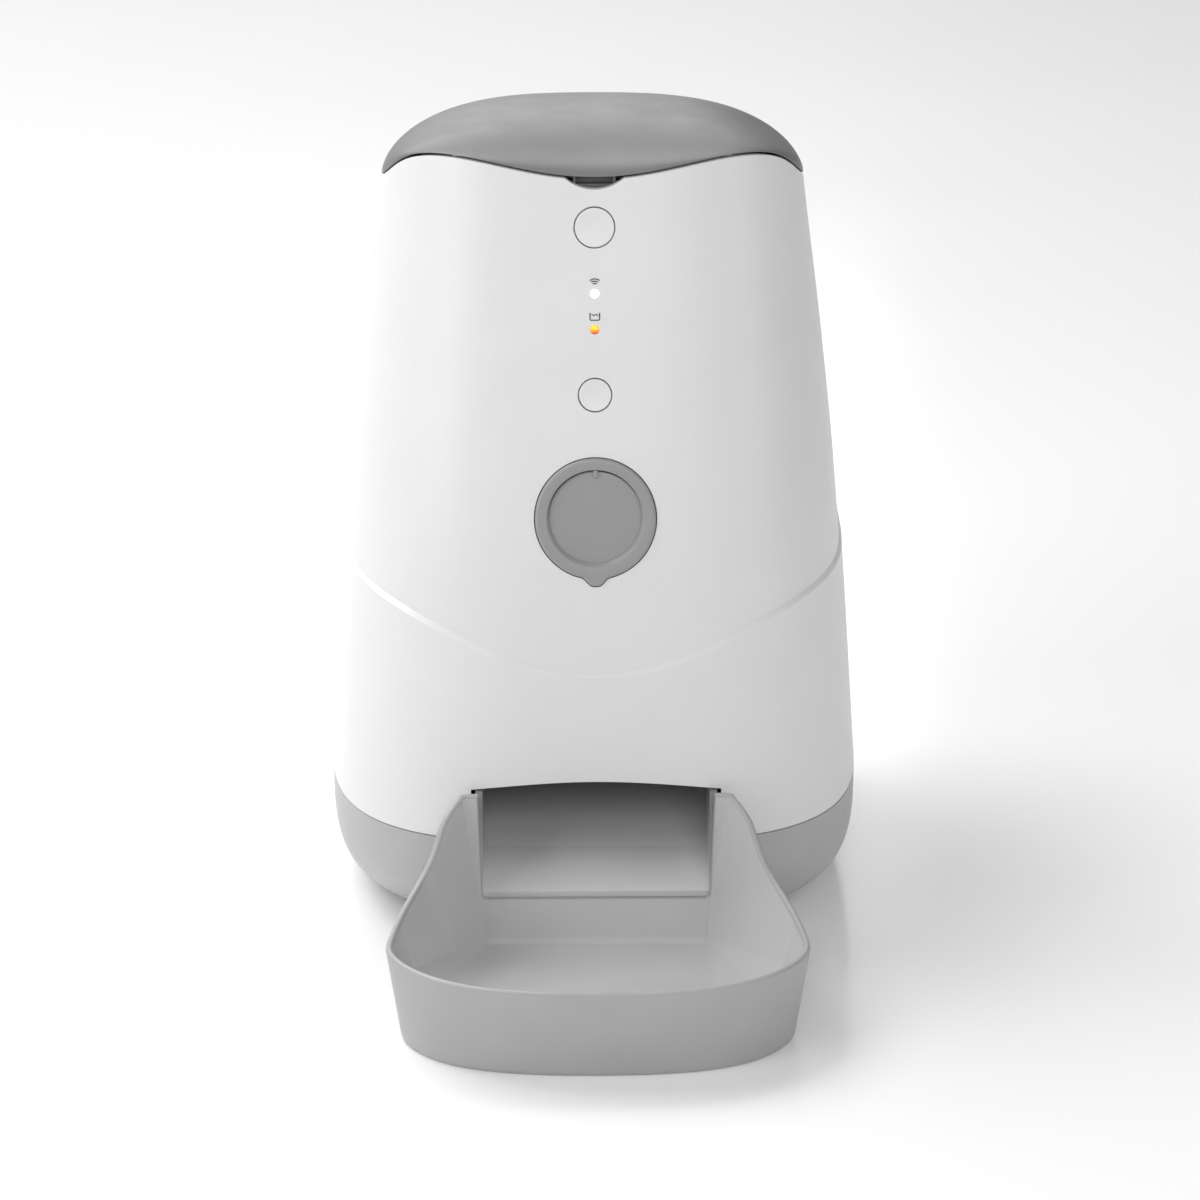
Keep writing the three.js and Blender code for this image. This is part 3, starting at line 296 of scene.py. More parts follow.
def glowing(name, core, edge, strength, height):
    """A lit lens: bright at its top, deeper in colour towards its bottom."""
    made, tree, bsdf = new_material(name)
    split = tree.nodes.new("ShaderNodeSeparateXYZ")
    tree.links.new(object_coordinates(tree), split.inputs["Vector"])
    along = tree.nodes.new("ShaderNodeMapRange")
    along.inputs["From Min"].default_value = (height - LENS_R) * MM
    along.inputs["From Max"].default_value = (height + LENS_R) * MM
    tree.links.new(split.outputs["Z"], along.inputs["Value"])
    glow = ramp(tree, along.outputs["Result"], (0.1, edge), (0.65, core))
    tree.links.new(glow, bsdf.inputs["Base Color"])
    tree.links.new(glow, bsdf.inputs["Emission Color"])
    bsdf.inputs["Emission Strength"].default_value = strength
    bsdf.inputs["Roughness"].default_value = 0.15
    return made


WHITE = plastic("white_shell", (0.80, 0.80, 0.80), 0.34, mottle=0.008, grain=2600, relief=0.02)
LID_GREY = plastic("lid_grey", (0.185, 0.185, 0.185), 0.42, mottle=0.025, grain=1500, relief=0.06)
BASE_GREY = plastic("base_grey", (0.46, 0.46, 0.46), 0.42, mottle=0.02, grain=1800, relief=0.05)
BOWL_GREY = plastic("bowl_grey", (0.42, 0.42, 0.42), 0.4, mottle=0.02, grain=900, relief=0.004)
# The bowl's inside: glossier, and a lighter grey that is painted light on the same plastic.
BOWL_GLOSSY_PAINTED_LIGHT = plastic("bowl_glossy_painted_light", (0.56, 0.56, 0.56), 0.2, mottle=0.015, grain=900, relief=0.006)
CHUTE_GREY = chute_plastic("chute_grey")
PORT_GREY = plastic("port_grey", (0.33, 0.33, 0.33), 0.38, mottle=0.02, grain=2000, relief=0.05)
DARK = plastic("dark_plastic", (0.045, 0.046, 0.05), 0.45, mottle=0.1)
LATCH_GREY = plastic("latch_grey", (0.13, 0.13, 0.13), 0.4, mottle=0.05)
PRINT = plastic("printed_ink", (0.05, 0.05, 0.055), 0.6, mottle=0.1)
LINER = plastic("liner_plastic", (0.66, 0.66, 0.64), 0.45, mottle=0.02, grain=1600, relief=0.05)
GEAR = plastic("gear_plastic", (0.72, 0.69, 0.6), 0.4, mottle=0.04)
SEAL = rubber("seal_rubber", (0.5, 0.51, 0.51))
RUBBER = rubber("foot_rubber", (0.035, 0.035, 0.037))
STEEL = metal("steel", (0.6, 0.6, 0.61), 0.3)
COPPER = metal("contact_metal", (0.62, 0.6, 0.52), 0.35)
BOARD = circuit_board("circuit_board")
JACKET = battery_jacket("battery_jacket")
LENS_WHITE = glowing("white_lens", (1.0, 1.0, 1.0), (0.55, 0.57, 0.6), 1.4, WIFI_LENS_Z)
LENS_AMBER = glowing("amber_lens", (1.0, 0.42, 0.03), (0.42, 0.04, 0.01), 1.05, FOOD_LENS_Z)

# ---------------------------------------------------------------- mesh helpers


def new_object(name, points, faces, material, matrix=None):
    """A mesh object from points in millimetres, its faces turned outwards."""
    mesh = bpy.data.meshes.new(name)
    place = matrix or Matrix.Identity(4)
    mesh.from_pydata([(place @ Vector(p)) * MM for p in points], [], faces)
    mesh.materials.append(material)
    made = bpy.data.objects.new(name, mesh)
    scene.collection.objects.link(made)
    turn_outwards(mesh)
    return made


def turn_outwards(mesh):
    mesh.calc_loop_triangles()
    corners = [[mesh.vertices[i].co for i in triangle.vertices] for triangle in mesh.loop_triangles]
    if sum(a.dot(b.cross(c)) for a, b, c in corners) < 0:
        mesh.flip_normals()


def smooth(obj, angle=32):
    obj.data.shade_smooth()
    obj.data.set_sharp_from_angle(angle=radians(angle))


def bevel(obj, width, segments=2):
    made = obj.modifiers.new("edges", "BEVEL")
    made.width = width * MM
    made.segments = segments
    made.limit_method = "ANGLE"
    made.angle_limit = radians(30)


def even_normals(obj):
    made = obj.modifiers.new("normals", "WEIGHTED_NORMAL")
    made.keep_sharp = True
    made.weight = 80


def apply_modifiers(obj):
    graph = bpy.context.evaluated_depsgraph_get()
    finished = bpy.data.meshes.new_from_object(obj.evaluated_get(graph))
    obj.modifiers.clear()
    obj.data = finished


def cut(obj, *tools):
    """Takes each tool's solid out of obj, and removes the tools."""
    for tool in tools:
        made = obj.modifiers.new("cut", "BOOLEAN")
        made.operation = "DIFFERENCE"
        made.solver = "EXACT"
        made.object = tool
    apply_modifiers(obj)
    for tool in tools:
        bpy.data.objects.remove(tool)


def loft(rings, ring_closed=False):
    """Points and faces of a skin over rings of equal length; its ends are closed, or meet."""
    count = len(rings[0])
    points = [p for r in rings for p in r]
    faces = []
    for r in range(len(rings) if ring_closed else len(rings) - 1):
        low, high = r * count, (r + 1) % len(rings) * count
        for i in range(count):
            j = (i + 1) % count
            faces.append((low + i, low + j, high + j, high + i))
    if not ring_closed:
        last = (len(rings) - 1) * count
        for start, step in ((0, -1), (last, 1)):
            centre = sum((Vector(p) for p in points[start:start + count]), Vector()) / count
            points.append(centre)
            for i in range(count):
                pair = (start + i, start + (i + 1) % count)
                faces.append((*pair[::step], len(points) - 1))
    return points, faces


def turned(profile, steps=64):
    """A profile of (radius, y) points turned about the Y axis; it starts and ends on the axis."""
    rings = [[(r * cos(a), y, r * sin(a)) for a in angles(steps)] for r, y in profile if r > 0]
    points, faces = loft(rings)
    points[-2], points[-1] = (0, profile[0][1], 0), (0, profile[-1][1], 0)
    return points, faces


def along_x(profile, x0, x1):
    """A closed (y, z) profile extruded from x0 to x1."""
    count = len(profile)
    points = [(x, y, z) for x in (x0, x1) for y, z in profile]
    sides = [(i, (i + 1) % count, (i + 1) % count + count, i + count) for i in range(count)]
    return points, [*sides, tuple(range(count))[::-1], tuple(range(count, 2 * count))]


def box(x0, x1, y0, y1, z0, z1):
    return along_x([(y0, z0), (y1, z0), (y1, z1), (y0, z1)], x0, x1)


def angles(steps):
    return [2 * pi * i / steps for i in range(steps)]


def arc(centre, radius, start, end, steps=8):
    """Points on an arc, its angles in degrees."""
    turns = [radians(start + (end - start) * i / steps) for i in range(steps + 1)]
    return [(centre[0] + radius * cos(a), centre[1] + radius * sin(a)) for a in turns]


def mix(a, b, t):
    return a + (b - a) * t


def ease(t):
    t = min(1, max(0, t))
    return t * t * (3 - 2 * t)


def hump(x, half_width):
    return 0.5 + 0.5 * cos(pi * x / half_width) if abs(x) < half_width else 0


# ---------------------------------------------------------------- the body's surface


def cubic(stations, at):
    """Values of a table of (position, value...) at one position, on a smooth curve through them."""
    last = len(stations) - 1
    at = min(max(at, stations[0][0]), stations[last][0])
    i1 = next(i for i in range(1, last + 1) if at <= stations[i][0])
    t0, t1 = stations[i1 - 1][0], stations[i1][0]
    before, t_before = (i1 - 2, stations[i1 - 2][0]) if i1 > 1 else (i1, t1)
    after, t_after = (i1 + 1, stations[i1 + 1][0]) if i1 < last else (i1 - 1, t0)
    low = 0.5 * (t1 - t0) / (t0 - t_before)
    high = 0.5 * (t1 - t0) / (t_after - t1)
    p = (at - t0) / (t1 - t0)
    factors = [
        (before, -low * p**3 + 2 * low * p**2 - low * p),
        (i1 - 1, (1 + low) * p**3 + (-1.5 - 2 * low) * p**2 + (-0.5 + low) * p + 1),
        (i1, (-1 - high) * p**3 + (1.5 + high) * p**2 + 0.5 * p),
        (after, high * p**3 - high * p**2),
    ]
    return [sum(f * stations[i][k] for i, f in factors) for k in range(1, len(stations[0]))]


def section(z, inset=0):
    half, front, back, power = cubic(STATIONS, z)
    return half - inset, front + inset, back - inset, power


def on_outline(outline, turn, z):
    """The point of a superellipse in the direction turn."""
    half, front, back, power = outline
    c, s = cos(turn), sin(turn)
    reach = (abs(c) ** power + abs(s) ** power) ** (-1 / power)
    return Vector((half * c * reach, (front + back) / 2 + (back - front) / 2 * s * reach, z))


def skirt(turn):
    """How far the lower shell and the base stand proud in the direction turn."""
    c, s = cos(turn), sin(turn)
    reach = (abs(c) ** SKIRT_POWER + abs(s) ** SKIRT_POWER) ** (-1 / SKIRT_POWER)
    return SKIRT_BACK + (SKIRT_FRONT - SKIRT_BACK) * max(0, -s * reach) ** SKIRT_POWER


def seam_height(p):
    dip = SEAM_DIP * hump(p.x, SEAM_DIP_HALF_WIDTH) if p.y < LID_CENTRE_Y else 0
    return cubic(SEAM_STATIONS, p.y)[0] - dip


def ledge_height(p):
    start, end = LEDGE_FADE
    fade = 1 - ease((p.y - start) / (end - start))
    return LEDGE_HEIGHT - LEDGE_DIP * hump(p.x, LEDGE_DIP_HALF_WIDTH) * fade


def meet(line_height, turn, start):
    """Height at which the body's surface meets a line drawn on it."""
    z = start
    for _ in range(12):
        z = line_height(on_outline(section(z), turn, z))
    return z


TURNS = [2 * pi * (i + 0.5) / AROUND for i in range(AROUND)]
SEAM_Z = [meet(seam_height, turn, 265) for turn in TURNS]
LEDGE_Z = [meet(ledge_height, turn, 125) for turn in TURNS]
SKIRTS = [skirt(turn) for turn in TURNS]


def body_ring(height, inset):
    """One ring of the body; height and inset are functions of the place round it."""
    return [on_outline(section(height(i), inset(i)), turn, height(i)) for i, turn in enumerate(TURNS)]


def front_matrix(z, lean):
    """A frame on the front at height z: +Y points into the body, square to the leaning front."""
    return Matrix.Translation((0, section(z)[1], z)) @ Matrix.Rotation(-lean, 4, "X")


CONTROLS = front_matrix(FEED_BUTTON_Z, CONTROLS_LEAN)
PORT = front_matrix(PORT_Z, PORT_LEAN)


def on_controls(z):
    return CONTROLS @ Matrix.Translation((0, 0, (z - FEED_BUTTON_Z) / cos(CONTROLS_LEAN)))


def finish_piece(obj, body, nodes, angle=32, weighted=False):
    """Shades a piece, puts it on its body and hides the nodes it stands for."""
    smooth(obj, angle)
    if weighted:
        even_normals(obj)
    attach(obj, body)
    if nodes:
        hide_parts(*nodes)
    return obj


# ---------------------------------------------------------------- body shell


def flared_hole(radius, flare=0.3):
    """A round hole's cutter along Y, widening where it breaks the surface."""
    return turned([(0, -4), (radius + flare + 0.6, -4), (radius + flare, -0.12), (radius + 0.1, 0.12),
                   (radius, flare), (radius, 6), (0, 6)], 96)


def port_outline(grow):
    """The badge's outline: a circle with a small tab at the bottom between hollow shoulders."""
    points = []
    for turn in angles(PORT_STEPS):
        along = (turn - 1.5 * pi) * PORT_R
        tab = 2.5 * ease((5.2 - abs(along)) / 4.2) ** 1.4
        radius = PORT_R + grow + tab
        points.append((radius * cos(turn), radius * sin(turn)))
    return points


def port_rings(depths):
    """Rings of the badge's outline, each with its growth and its depth along Y."""
    return [[(x, y, z) for x, z in port_outline(grow)] for grow, y in depths]


def outlet_cutter():
    """The food outlet through the shell and the base, its top a shallow arch."""
    low, rise = OUTLET_CORNER_TOP, 2 * OUTLET_TOP - OUTLET_CORNER_TOP
    sides = [(-OUTLET_HALF_WIDTH, 20), (OUTLET_HALF_WIDTH, 20)]
    arch = []
    for i in range(25):
        t = i / 24
        x = mix(OUTLET_HALF_WIDTH, -OUTLET_HALF_WIDTH, t)
        arch.append((x, (1 - t) ** 2 * low + 2 * t * (1 - t) * rise + t * t * low))
    outline = sides + arch
    count = len(outline)
    front = section(BASE_TOP)[1] - 6
    points = [(x, y, z) for y in (front, front + 16) for x, z in outline]
    walls = [(i, (i + 1) % count, (i + 1) % count + count, i + count) for i in range(count)]
    return points, [*walls, tuple(range(count))[::-1], tuple(range(count, 2 * count))]


def tool(shape, matrix=None):
    return new_object("tool", *shape, WHITE, matrix)


def body_shell():
    def proud(extra):
        return lambda i: extra - SKIRTS[i]

    def level(z):
        return lambda i: z

    def ledge(offset):
        return lambda i: LEDGE_Z[i] + offset

    def seam(offset):
        return lambda i: SEAM_Z[i] - GAP + offset

    def inset(distance):
        return lambda i: distance

    def share(part):
        return lambda i: -SKIRTS[i] * part

    rings = [body_ring(level(BASE_TOP + up), proud(back)) for up, back in
             ((0, LIP_R), (0.06, 0.2), (0.2, 0.06), (LIP_R, 0))]
    for k in range(1, 9):
        rings.append(body_ring(lambda i: mix(BASE_TOP + LIP_R, LEDGE_Z[i] - 0.74, k / 9), proud(0)))
    for offset, part in ((-0.74, 1), (-0.68, 0.97), (0.52, 0.03), (0.6, 0)):
        rings.append(body_ring(ledge(offset), share(part)))
    for k in range(1, 25):
        rings.append(body_ring(lambda i: mix(LEDGE_Z[i] + 0.6, SEAM_Z[i] - GAP - LIP_R, k / 24), inset(0)))
    rings += [body_ring(seam(up), inset(back)) for up, back in
              ((-0.2, 0.06), (-0.06, 0.2), (0, LIP_R), (0, WALL - 0.3), (-0.3, WALL))]
    for k in range(1, 7):
        rings.append(body_ring(lambda i: mix(SEAM_Z[i] - 1, BASE_TOP, k / 6), inset(WALL)))
    shell = new_object("body_shell_skin", *loft(rings, True), WHITE)

    notch_r = (NOTCH_HALF_WIDTH**2 + NOTCH_DEPTH**2) / (2 * NOTCH_DEPTH)
    front_seam = SEAM_Z[AROUND * 3 // 4]
    notch_place = Matrix.Translation((0, section(270)[1], front_seam - GAP - NOTCH_DEPTH + notch_r))
    cut(
        shell,
        tool(turned([(0, -3), (notch_r, -3), (notch_r, 5), (0, 5)], 256), notch_place),
        tool(outlet_cutter()),
        tool(flared_hole(WIFI_BUTTON_R + 0.4, 0.12), on_controls(WIFI_BUTTON_Z)),
        tool(flared_hole(FEED_BUTTON_R + 0.4, 0.12), on_controls(FEED_BUTTON_Z)),
        tool(flared_hole(LENS_R + 0.12, 0.12), on_controls(WIFI_LENS_Z)),
        tool(flared_hole(LENS_R + 0.12, 0.12), on_controls(FOOD_LENS_Z)),
        tool(loft(port_rings([(0.6, -4), (0.6, -0.2), (0.35, 0.1), (0.35, 6)])), PORT),
    )
    return finish_piece(shell, "feeder_body", ["body_shell"], weighted=True)


def knuckle_profile(reach_y, reach_low, reach_high):
    """Side view of a hinge knuckle: a barrel blended into the wall it grows from."""
    barrel = arc((HINGE_Y, HINGE_Z), KNUCKLE_R, -90, 90, 20)
    return [*barrel, (reach_y, reach_high), (reach_y, reach_low)]


def hinge_knuckles():
    wall_y = section(HINGE_Z)[2] - 1.6
    inner_end = LID_KNUCKLE + KNUCKLE_GAP
    for name, x0, x1 in (("left", -HINGE_HALF, -inner_end), ("right", inner_end, HINGE_HALF)):
        profile = knuckle_profile(wall_y, 236, HINGE_Z - 1.2)
        made = new_object(f"hinge_knuckle_{name}", *along_x(profile, x0, x1), WHITE)
        bevel(made, 0.5, 3)
        finish_piece(made, "feeder_body", [])
    profile = knuckle_profile(wall_y, HINGE_Z + 1.2, HINGE_Z + 5)
    made = new_object("hinge_knuckle_lid", *along_x(profile, -LID_KNUCKLE, LID_KNUCKLE), LID_GREY)
    bevel(made, 0.5, 3)
    finish_piece(made, "lid", [])


# ---------------------------------------------------------------- base


def base_outline(z, turn, tuck, inset):
    half, front, back, _ = section(BASE_TOP)
    out = skirt(turn) - inset
    sides = (half + out - TUCK_SIDE * tuck, front - out + TUCK_FRONT * tuck, back + out - TUCK_BACK * tuck)
    power = mix(BASE_TOP_POWER, BASE_TUCK_POWER, min(1, tuck))
    return on_outline((*sides, power), turn, z)


def base_housing():
    def ring(z, inset=0):
        tuck, = cubic(BASE_WALL, z)
        return [base_outline(z, turn, max(0, tuck), inset) for turn in TURNS]

    top = BASE_TOP - GAP
    rings = [ring(BASE_BOTTOM, 1.2), ring(BASE_BOTTOM + 0.15, 0.5), ring(BASE_BOTTOM + 0.6, 0.05)]
    rings += [ring(mix(BASE_BOTTOM + 1, top - LIP_R, k / 22)) for k in range(23)]
    rings += [ring(top - 0.2, 0.06), ring(top - 0.06, 0.2), ring(top, LIP_R), ring(top, WALL + 1)]
    rings += [ring(z, WALL + 1) for z in (38, 30, 22, 15, 10, BASE_BOTTOM + WALL)]
    base = new_object("base_shell", *loft(rings), BASE_GREY)
    x0, x1, y0, y1 = DOOR
    socket_x, _, socket_z = SOCKET
    hole_r = SOCKET_R + 0.4
    socket_hole = turned([(0, 120), (hole_r, 120), (hole_r, 160), (0, 160)])
    downward = Matrix.Rotation(-pi / 2, 4, "X")
    wells = [(x, y, FOOT_R + GAP, BASE_BOTTOM + 1.4) for x, y in FEET.values()]
    wells += [(x, y, SCREW_WELL_R, SCREW_WELL_Z) for x, y in SCREWS]
    cut(
        base,
        tool(outlet_cutter()),
        tool(box(x0, x1, y0, y1, 0, BASE_BOTTOM + WALL + 1)),
        tool(socket_hole, Matrix.Translation((socket_x, 0, socket_z))),
        *[tool(turned([(0, -up), (r, -up), (r, 1), (0, 1)]), Matrix.Translation((x, y, 0)) @ downward)
          for x, y, r, up in wells],
    )
    finish_piece(base, "feeder_body", ["base_housing"], weighted=True)

    panel = (x0 + DOOR_GAP, x1 - DOOR_GAP, y0 + DOOR_GAP, y1 - DOOR_GAP, BASE_BOTTOM, BASE_BOTTOM + WALL)
    door = new_object("battery_door_panel", *box(*panel), BASE_GREY)
    half = [(0, -9), (THUMB_R - 0.6, -9), (THUMB_R, -8.4), (THUMB_R, 8.4), (THUMB_R - 0.6, 9), (0, 9)]
    place = Matrix.Translation((0, y0 + 12, BASE_BOTTOM - 3.6)) @ Matrix.Rotation(pi / 2, 4, "Z")
    cut(door, tool(turned(half), place))
    bevel(door, 0.5, 3)
    finish_piece(door, "battery_door", ["battery_door"])


def feet():
    profile = [(0, 0), (FOOT_R - 1.6, 0), (FOOT_R - 0.7, 0.15), (FOOT_R - 0.2, 0.6), (FOOT_R, 1.3),
               (FOOT_R, 3.8), (FOOT_R - 0.3, 4), (0, 4)]
    for name, (x, y) in FEET.items():
        place = Matrix.Translation((x, y, 0)) @ Matrix.Rotation(pi / 2, 4, "X")
        foot = new_object(f"rubber_foot_{name}", *turned(profile), RUBBER, place)
        finish_piece(foot, "feeder_body", [f"foot_{name}"])


def power_inlet():
    flange = [(SOCKET_R, -0.8), (SOCKET_R, 0.1), (SOCKET_R - 0.3, 0.4)]
    bore = [(3.3, 0.4), (2.9, 0), (2.9, -9)]
    pin = [(1, -9), (1, -2), (0.6, -1.5), (0, -1.5)]
    profile = [(0, -12), (5.4, -12), (5.4, -0.8), *flange, *bore, *pin]
    inlet = new_object("power_socket", *turned(profile), DARK, Matrix.Translation(SOCKET))
    finish_piece(inlet, "feeder_body", ["power_inlet"])


# ---------------------------------------------------------------- lid


def lid_ring(lift, inset, drop=0.0):
    out = max(0, cos(lift)) ** (2 / LID_PLAN_POWER)
    up = sin(lift) ** (2 / LID_RISE_POWER)
    ring = []
    for turn, seam in zip(TURNS, SEAM_Z):
        edge = on_outline(section(seam, inset), turn, seam + 0.5 + drop)
        y = mix(LID_CENTRE_Y, edge.y, out)
        crown = CROWN_HEIGHT - CROWN_FALL * (y - CROWN_Y) ** 2 - inset
        ring.append(Vector((edge.x * out, y, mix(edge.z, crown, up))))
    return ring


def lid():
    steps, end = 30, 88         # the last ring stops short of the crown's pole
    lifts = [radians(end * k / steps) for k in range(steps + 1)]
    inside = [lid_ring(lift, WALL) for lift in lifts[::3]]
    lip = [lid_ring(0, WALL - 0.3), lid_ring(0, LIP_R), lid_ring(0, 0.15, 0.08), lid_ring(0, 0.02, 0.3)]
    outside = [lid_ring(lift, 0) for lift in lifts[1:]]
    cover = new_object("lid_cover", *loft([*inside[::-1], *lip, *outside]), LID_GREY)
    finish_piece(cover, "lid", ["lid"], weighted=True)

    face = section(LATCH_Z[1])[1]
    front, back = [face + depth for depth in CATCH_DEPTH]
    low, high = CATCH_Z
    opening = CATCH_HALF - CATCH_SIDE
    loop = new_object("lid_catch", *box(-CATCH_HALF, CATCH_HALF, front, back, low, high), LID_GREY)
    cut(loop, tool(box(-opening, opening, front - 0.5, back + 0.8, low + CATCH_SILL, high + 0.7)))
    bevel(loop, 0.15)
    finish_piece(loop, "lid", [])


def latch():
    low, high = LATCH_Z
    y = section(high)[1] + LATCH_DEPTH
    tongue = [(y, low), (y + 2.2, low), (y + 2.2, high - 0.4), (y + 1.8, high), (y, high)]
    ridge = [(y, 272.8), (y - 0.3, 272.6), (y - 0.3, 271), (y, 270.8)]
    profile = tongue + ridge
    made = new_object("latch_tongue", *along_x(profile, -LATCH_HALF, LATCH_HALF), LATCH_GREY)
    bevel(made, 0.4, 3)
    finish_piece(made, "latch", ["lid_latch"])


# ---------------------------------------------------------------- bowl


def catmull(points, steps):
    """A centripetal Catmull-Rom curve through the points."""
    points = [Vector(p) for p in points]
    run = [2 * points[0] - points[1], *points, 2 * points[-1] - points[-2]]
    curve = []
    for k in range(len(points) - 1):
        p0, p1, p2, p3 = run[k:k + 4]
        t = [0, *(max((b - a).length, 1e-6) ** 0.5 for a, b in ((p0, p1), (p1, p2), (p2, p3)))]
        t = [t[0], t[1], t[1] + t[2], t[1] + t[2] + t[3]]
        for i in range(steps):
            at = mix(t[1], t[2], i / steps)
            a1 = p0.lerp(p1, (at - t[0]) / (t[1] - t[0]))
            a2 = p1.lerp(p2, (at - t[1]) / (t[2] - t[1]))
            a3 = p2.lerp(p3, (at - t[2]) / (t[3] - t[2]))
            b1 = a1.lerp(a2, (at - t[0]) / (t[2] - t[0]))
            b2 = a2.lerp(a3, (at - t[1]) / (t[3] - t[1]))
            curve.append(b1.lerp(b2, (at - t[1]) / (t[2] - t[1])))
    return [*curve, points[-1]]


def bowl_rim():
    """The outer edge of the bowl's rim, all the way round from the middle of its back."""
    top = BOWL_RIM[0][2]
    back = [Vector((x, BOWL_BACK, top)) for x in (8, 16, 24, 30, 35, 38.5, 41, 43, 44.8)]
    half = [*back, Vector((46.6, BOWL_BACK - 0.3, top)), *catmull(BOWL_RIM, 12)]
    mirrored = [Vector((-p.x, p.y, p.z)) for p in half[-2::-1]]
    return [Vector((0, BOWL_BACK, top)), *half, *mirrored]


def mouth_cutter():
    """The opening between the bowl's posts, its edges rolled over both faces of the wall."""
    sill, top = MOUTH_HALF
    front = BOWL_BACK - BOWL_WALL
    near = [(front + depth, grow) for depth, grow in MOUTH_ROLL]
    far = [(BOWL_BACK - depth, grow) for depth, grow in MOUTH_ROLL[::-1]]
    rings = []
    for y, grow in near + far:
        centre = (sill + grow - MOUTH_CORNER_R, BOWL_LIP - grow + MOUTH_CORNER_R)
        corner = arc(centre, MOUTH_CORNER_R, -90, 0, 6)
        half = [*corner, (top + grow, MOUTH_TOP)]
        outline = half + [(-x, z) for x, z in half[::-1]]
        rings.append([(x, y, z) for x, z in outline])
    return loft(rings)


def inset_plan(points, distance):
    """Moves a closed plan outline inwards, square to its own edge."""
    moved = []
    for i, p in enumerate(points):
        before, after = points[i - 1], points[(i + 1) % len(points)]
        along = Vector((after.x - before.x, after.y - before.y))
        if along.length < 1e-6:
            along = Vector((1, 0))
        along.normalize()
        moved.append(Vector((p.x + along.y * distance, p.y - along.x * distance, p.z)))
    return moved


def shrink(points, factor, z):
    """Draws an outline in towards the bowl's middle and lowers it to z; the front flattens as it goes."""
    drawn = []
    for p in points:
        ahead = max(0, BOWL_MIDDLE - p.y)
        flatten = 0.75 + 1.25 * (ahead / BOWL_REACH) ** 2
        drawn.append(Vector((p.x * factor, p.y + ahead * (1 - factor) * flatten, min(z, p.z))))
    return drawn


def bowl_inside(rim, inner):
    """Rings down the inner wall; the coves along its sides fan out from the two back corners."""
    middle_x = min((p for p in inner if p.x > 0), key=lambda p: abs(p.y - BOWL_MIDDLE)).x
    guides = []
    for edge, p in zip(rim, inner):
        fan = min(1, max(0, (BOWL_BACK - 1.1 - edge.y) / (BOWL_BACK - 1.1 - BOWL_MIDDLE)))
        corner_x = min(abs(p.x) * 0.915, BOWL_CORNER_X + 0.004 * abs(p.x))
        guide = [Vector((p.x, p.y, p.z - 1.2))]
        for (x, z), (back, up) in zip(BOWL_COVE, BOWL_FILLET):
            if edge.y > BOWL_MIDDLE:
                across, y = mix(corner_x, x, fan), p.y - back * (1 - fan)
            else:
                across, y = abs(p.x) * x / middle_x, BOWL_MIDDLE + (p.y - BOWL_MIDDLE) * x / middle_x
            guide.append(Vector((across if p.x > 0 else -across, y, mix(BOWL_FLOOR + up, z, fan))))
        guides.append(guide)
    steps = [(0, part) for part in (0.12, 0.3, 0.5, 0.7, 0.88, 0.97)]
    steps += [(leg, part) for leg in (1, 2) for part in (0.06, 0.35, 0.65, 0.94)]
    rings = [[guide[leg].lerp(guide[leg + 1], part) for guide in guides] for leg, part in steps]
    return [*rings, [Vector((p.x * 0.97, p.y - 0.4, BOWL_FLOOR)) for *_, p in guides]]


def bowl():
    rim = bowl_rim()
    inner = inset_plan(rim, BOWL_WALL)
    # Distance in from the rim's outer edge and height, over the rolled lip.
    lip = [(0, -1.2), (0.16, -0.6), (0.5, -0.2), (0.9, -0.04), (1.2, 0)]
    lip += [(1.5, -0.04), (1.9, -0.2), (2.24, -0.6), (2.4, -1.2)]
    # Factor and height of the rounded edge that the bowl stands on.
    foot = [(0.905, 0), (0.92, 0.15), (0.928, 0.7), (0.934, 1.7), (0.938, 3)]

    def lowered(points, drop):
        return [Vector((p.x, p.y, p.z + drop)) for p in points]

    low, high = shrink(rim, 0.94, 4), lowered(rim, -1.2)
    outside = [shrink(rim, factor, z) for factor, z in foot]
    outside += [[a.lerp(b, part) for a, b in zip(low, high)] for part in (0, 0.15, 0.3, 0.45, 0.6, 0.75, 0.9)]
    edge = [lowered(inset_plan(rim, distance), drop) for distance, drop in lip]
    made = new_object("bowl_tray", *loft([*outside, *edge, *bowl_inside(rim, inner)]), BOWL_GREY)
    made.data.materials.append(BOWL_GLOSSY_PAINTED_LIGHT)
    # The inner faces take the second material, which is glossier and a lighter grey; the lighter grey is
    # painted light, a lit copy of the outer grey.
    inner_faces_from = (len(outside) + len(edge) - 1) * len(rim)
    for polygon in made.data.polygons[inner_faces_from:]:
        polygon.material_index = 1
    cut(made, tool(mouth_cutter()))
    finish_piece(made, "bowl", ["bowl"], weighted=True)


# ---------------------------------------------------------------- controls


def button(name, z, radius, body):
    """A key with a shallow dish in its face and a rolled edge."""
    dish = [(radius * k / 10, 0.32 * (1 - (k / 10) ** 2)) for k in range(9)]
    edge = [(radius - 0.5, 0.03), (radius - 0.2, 0.05), (radius - 0.05, 0.18), (radius, 0.4), (radius, 3.1)]
    stem = [(radius + 1.4, 3.1), (radius + 1.4, 4.4), (2.5, 4.4), (2.5, 7), (0, 7)]
    profile = [*dish, *edge, *stem]
    made = new_object(f"{name}_key", *turned(profile, 96), WHITE, on_controls(z))
    finish_piece(made, body, [f"{name}_button"])


def lens(name, z, material):
    dome = [(LENS_R * sin(radians(a)), 0.25 - 0.55 * cos(radians(a))) for a in range(10, 91, 10)]
    profile = [(0, -0.3), *dome, (LENS_R, 2.9), (2.6, 2.9), (2.6, 4), (LENS_R, 4), (LENS_R, 9.5), (0, 9.5)]
    made = new_object(f"{name}_window", *turned(profile, 48), material, on_controls(z))
    finish_piece(made, "feeder_body", [f"{name}_lens"])


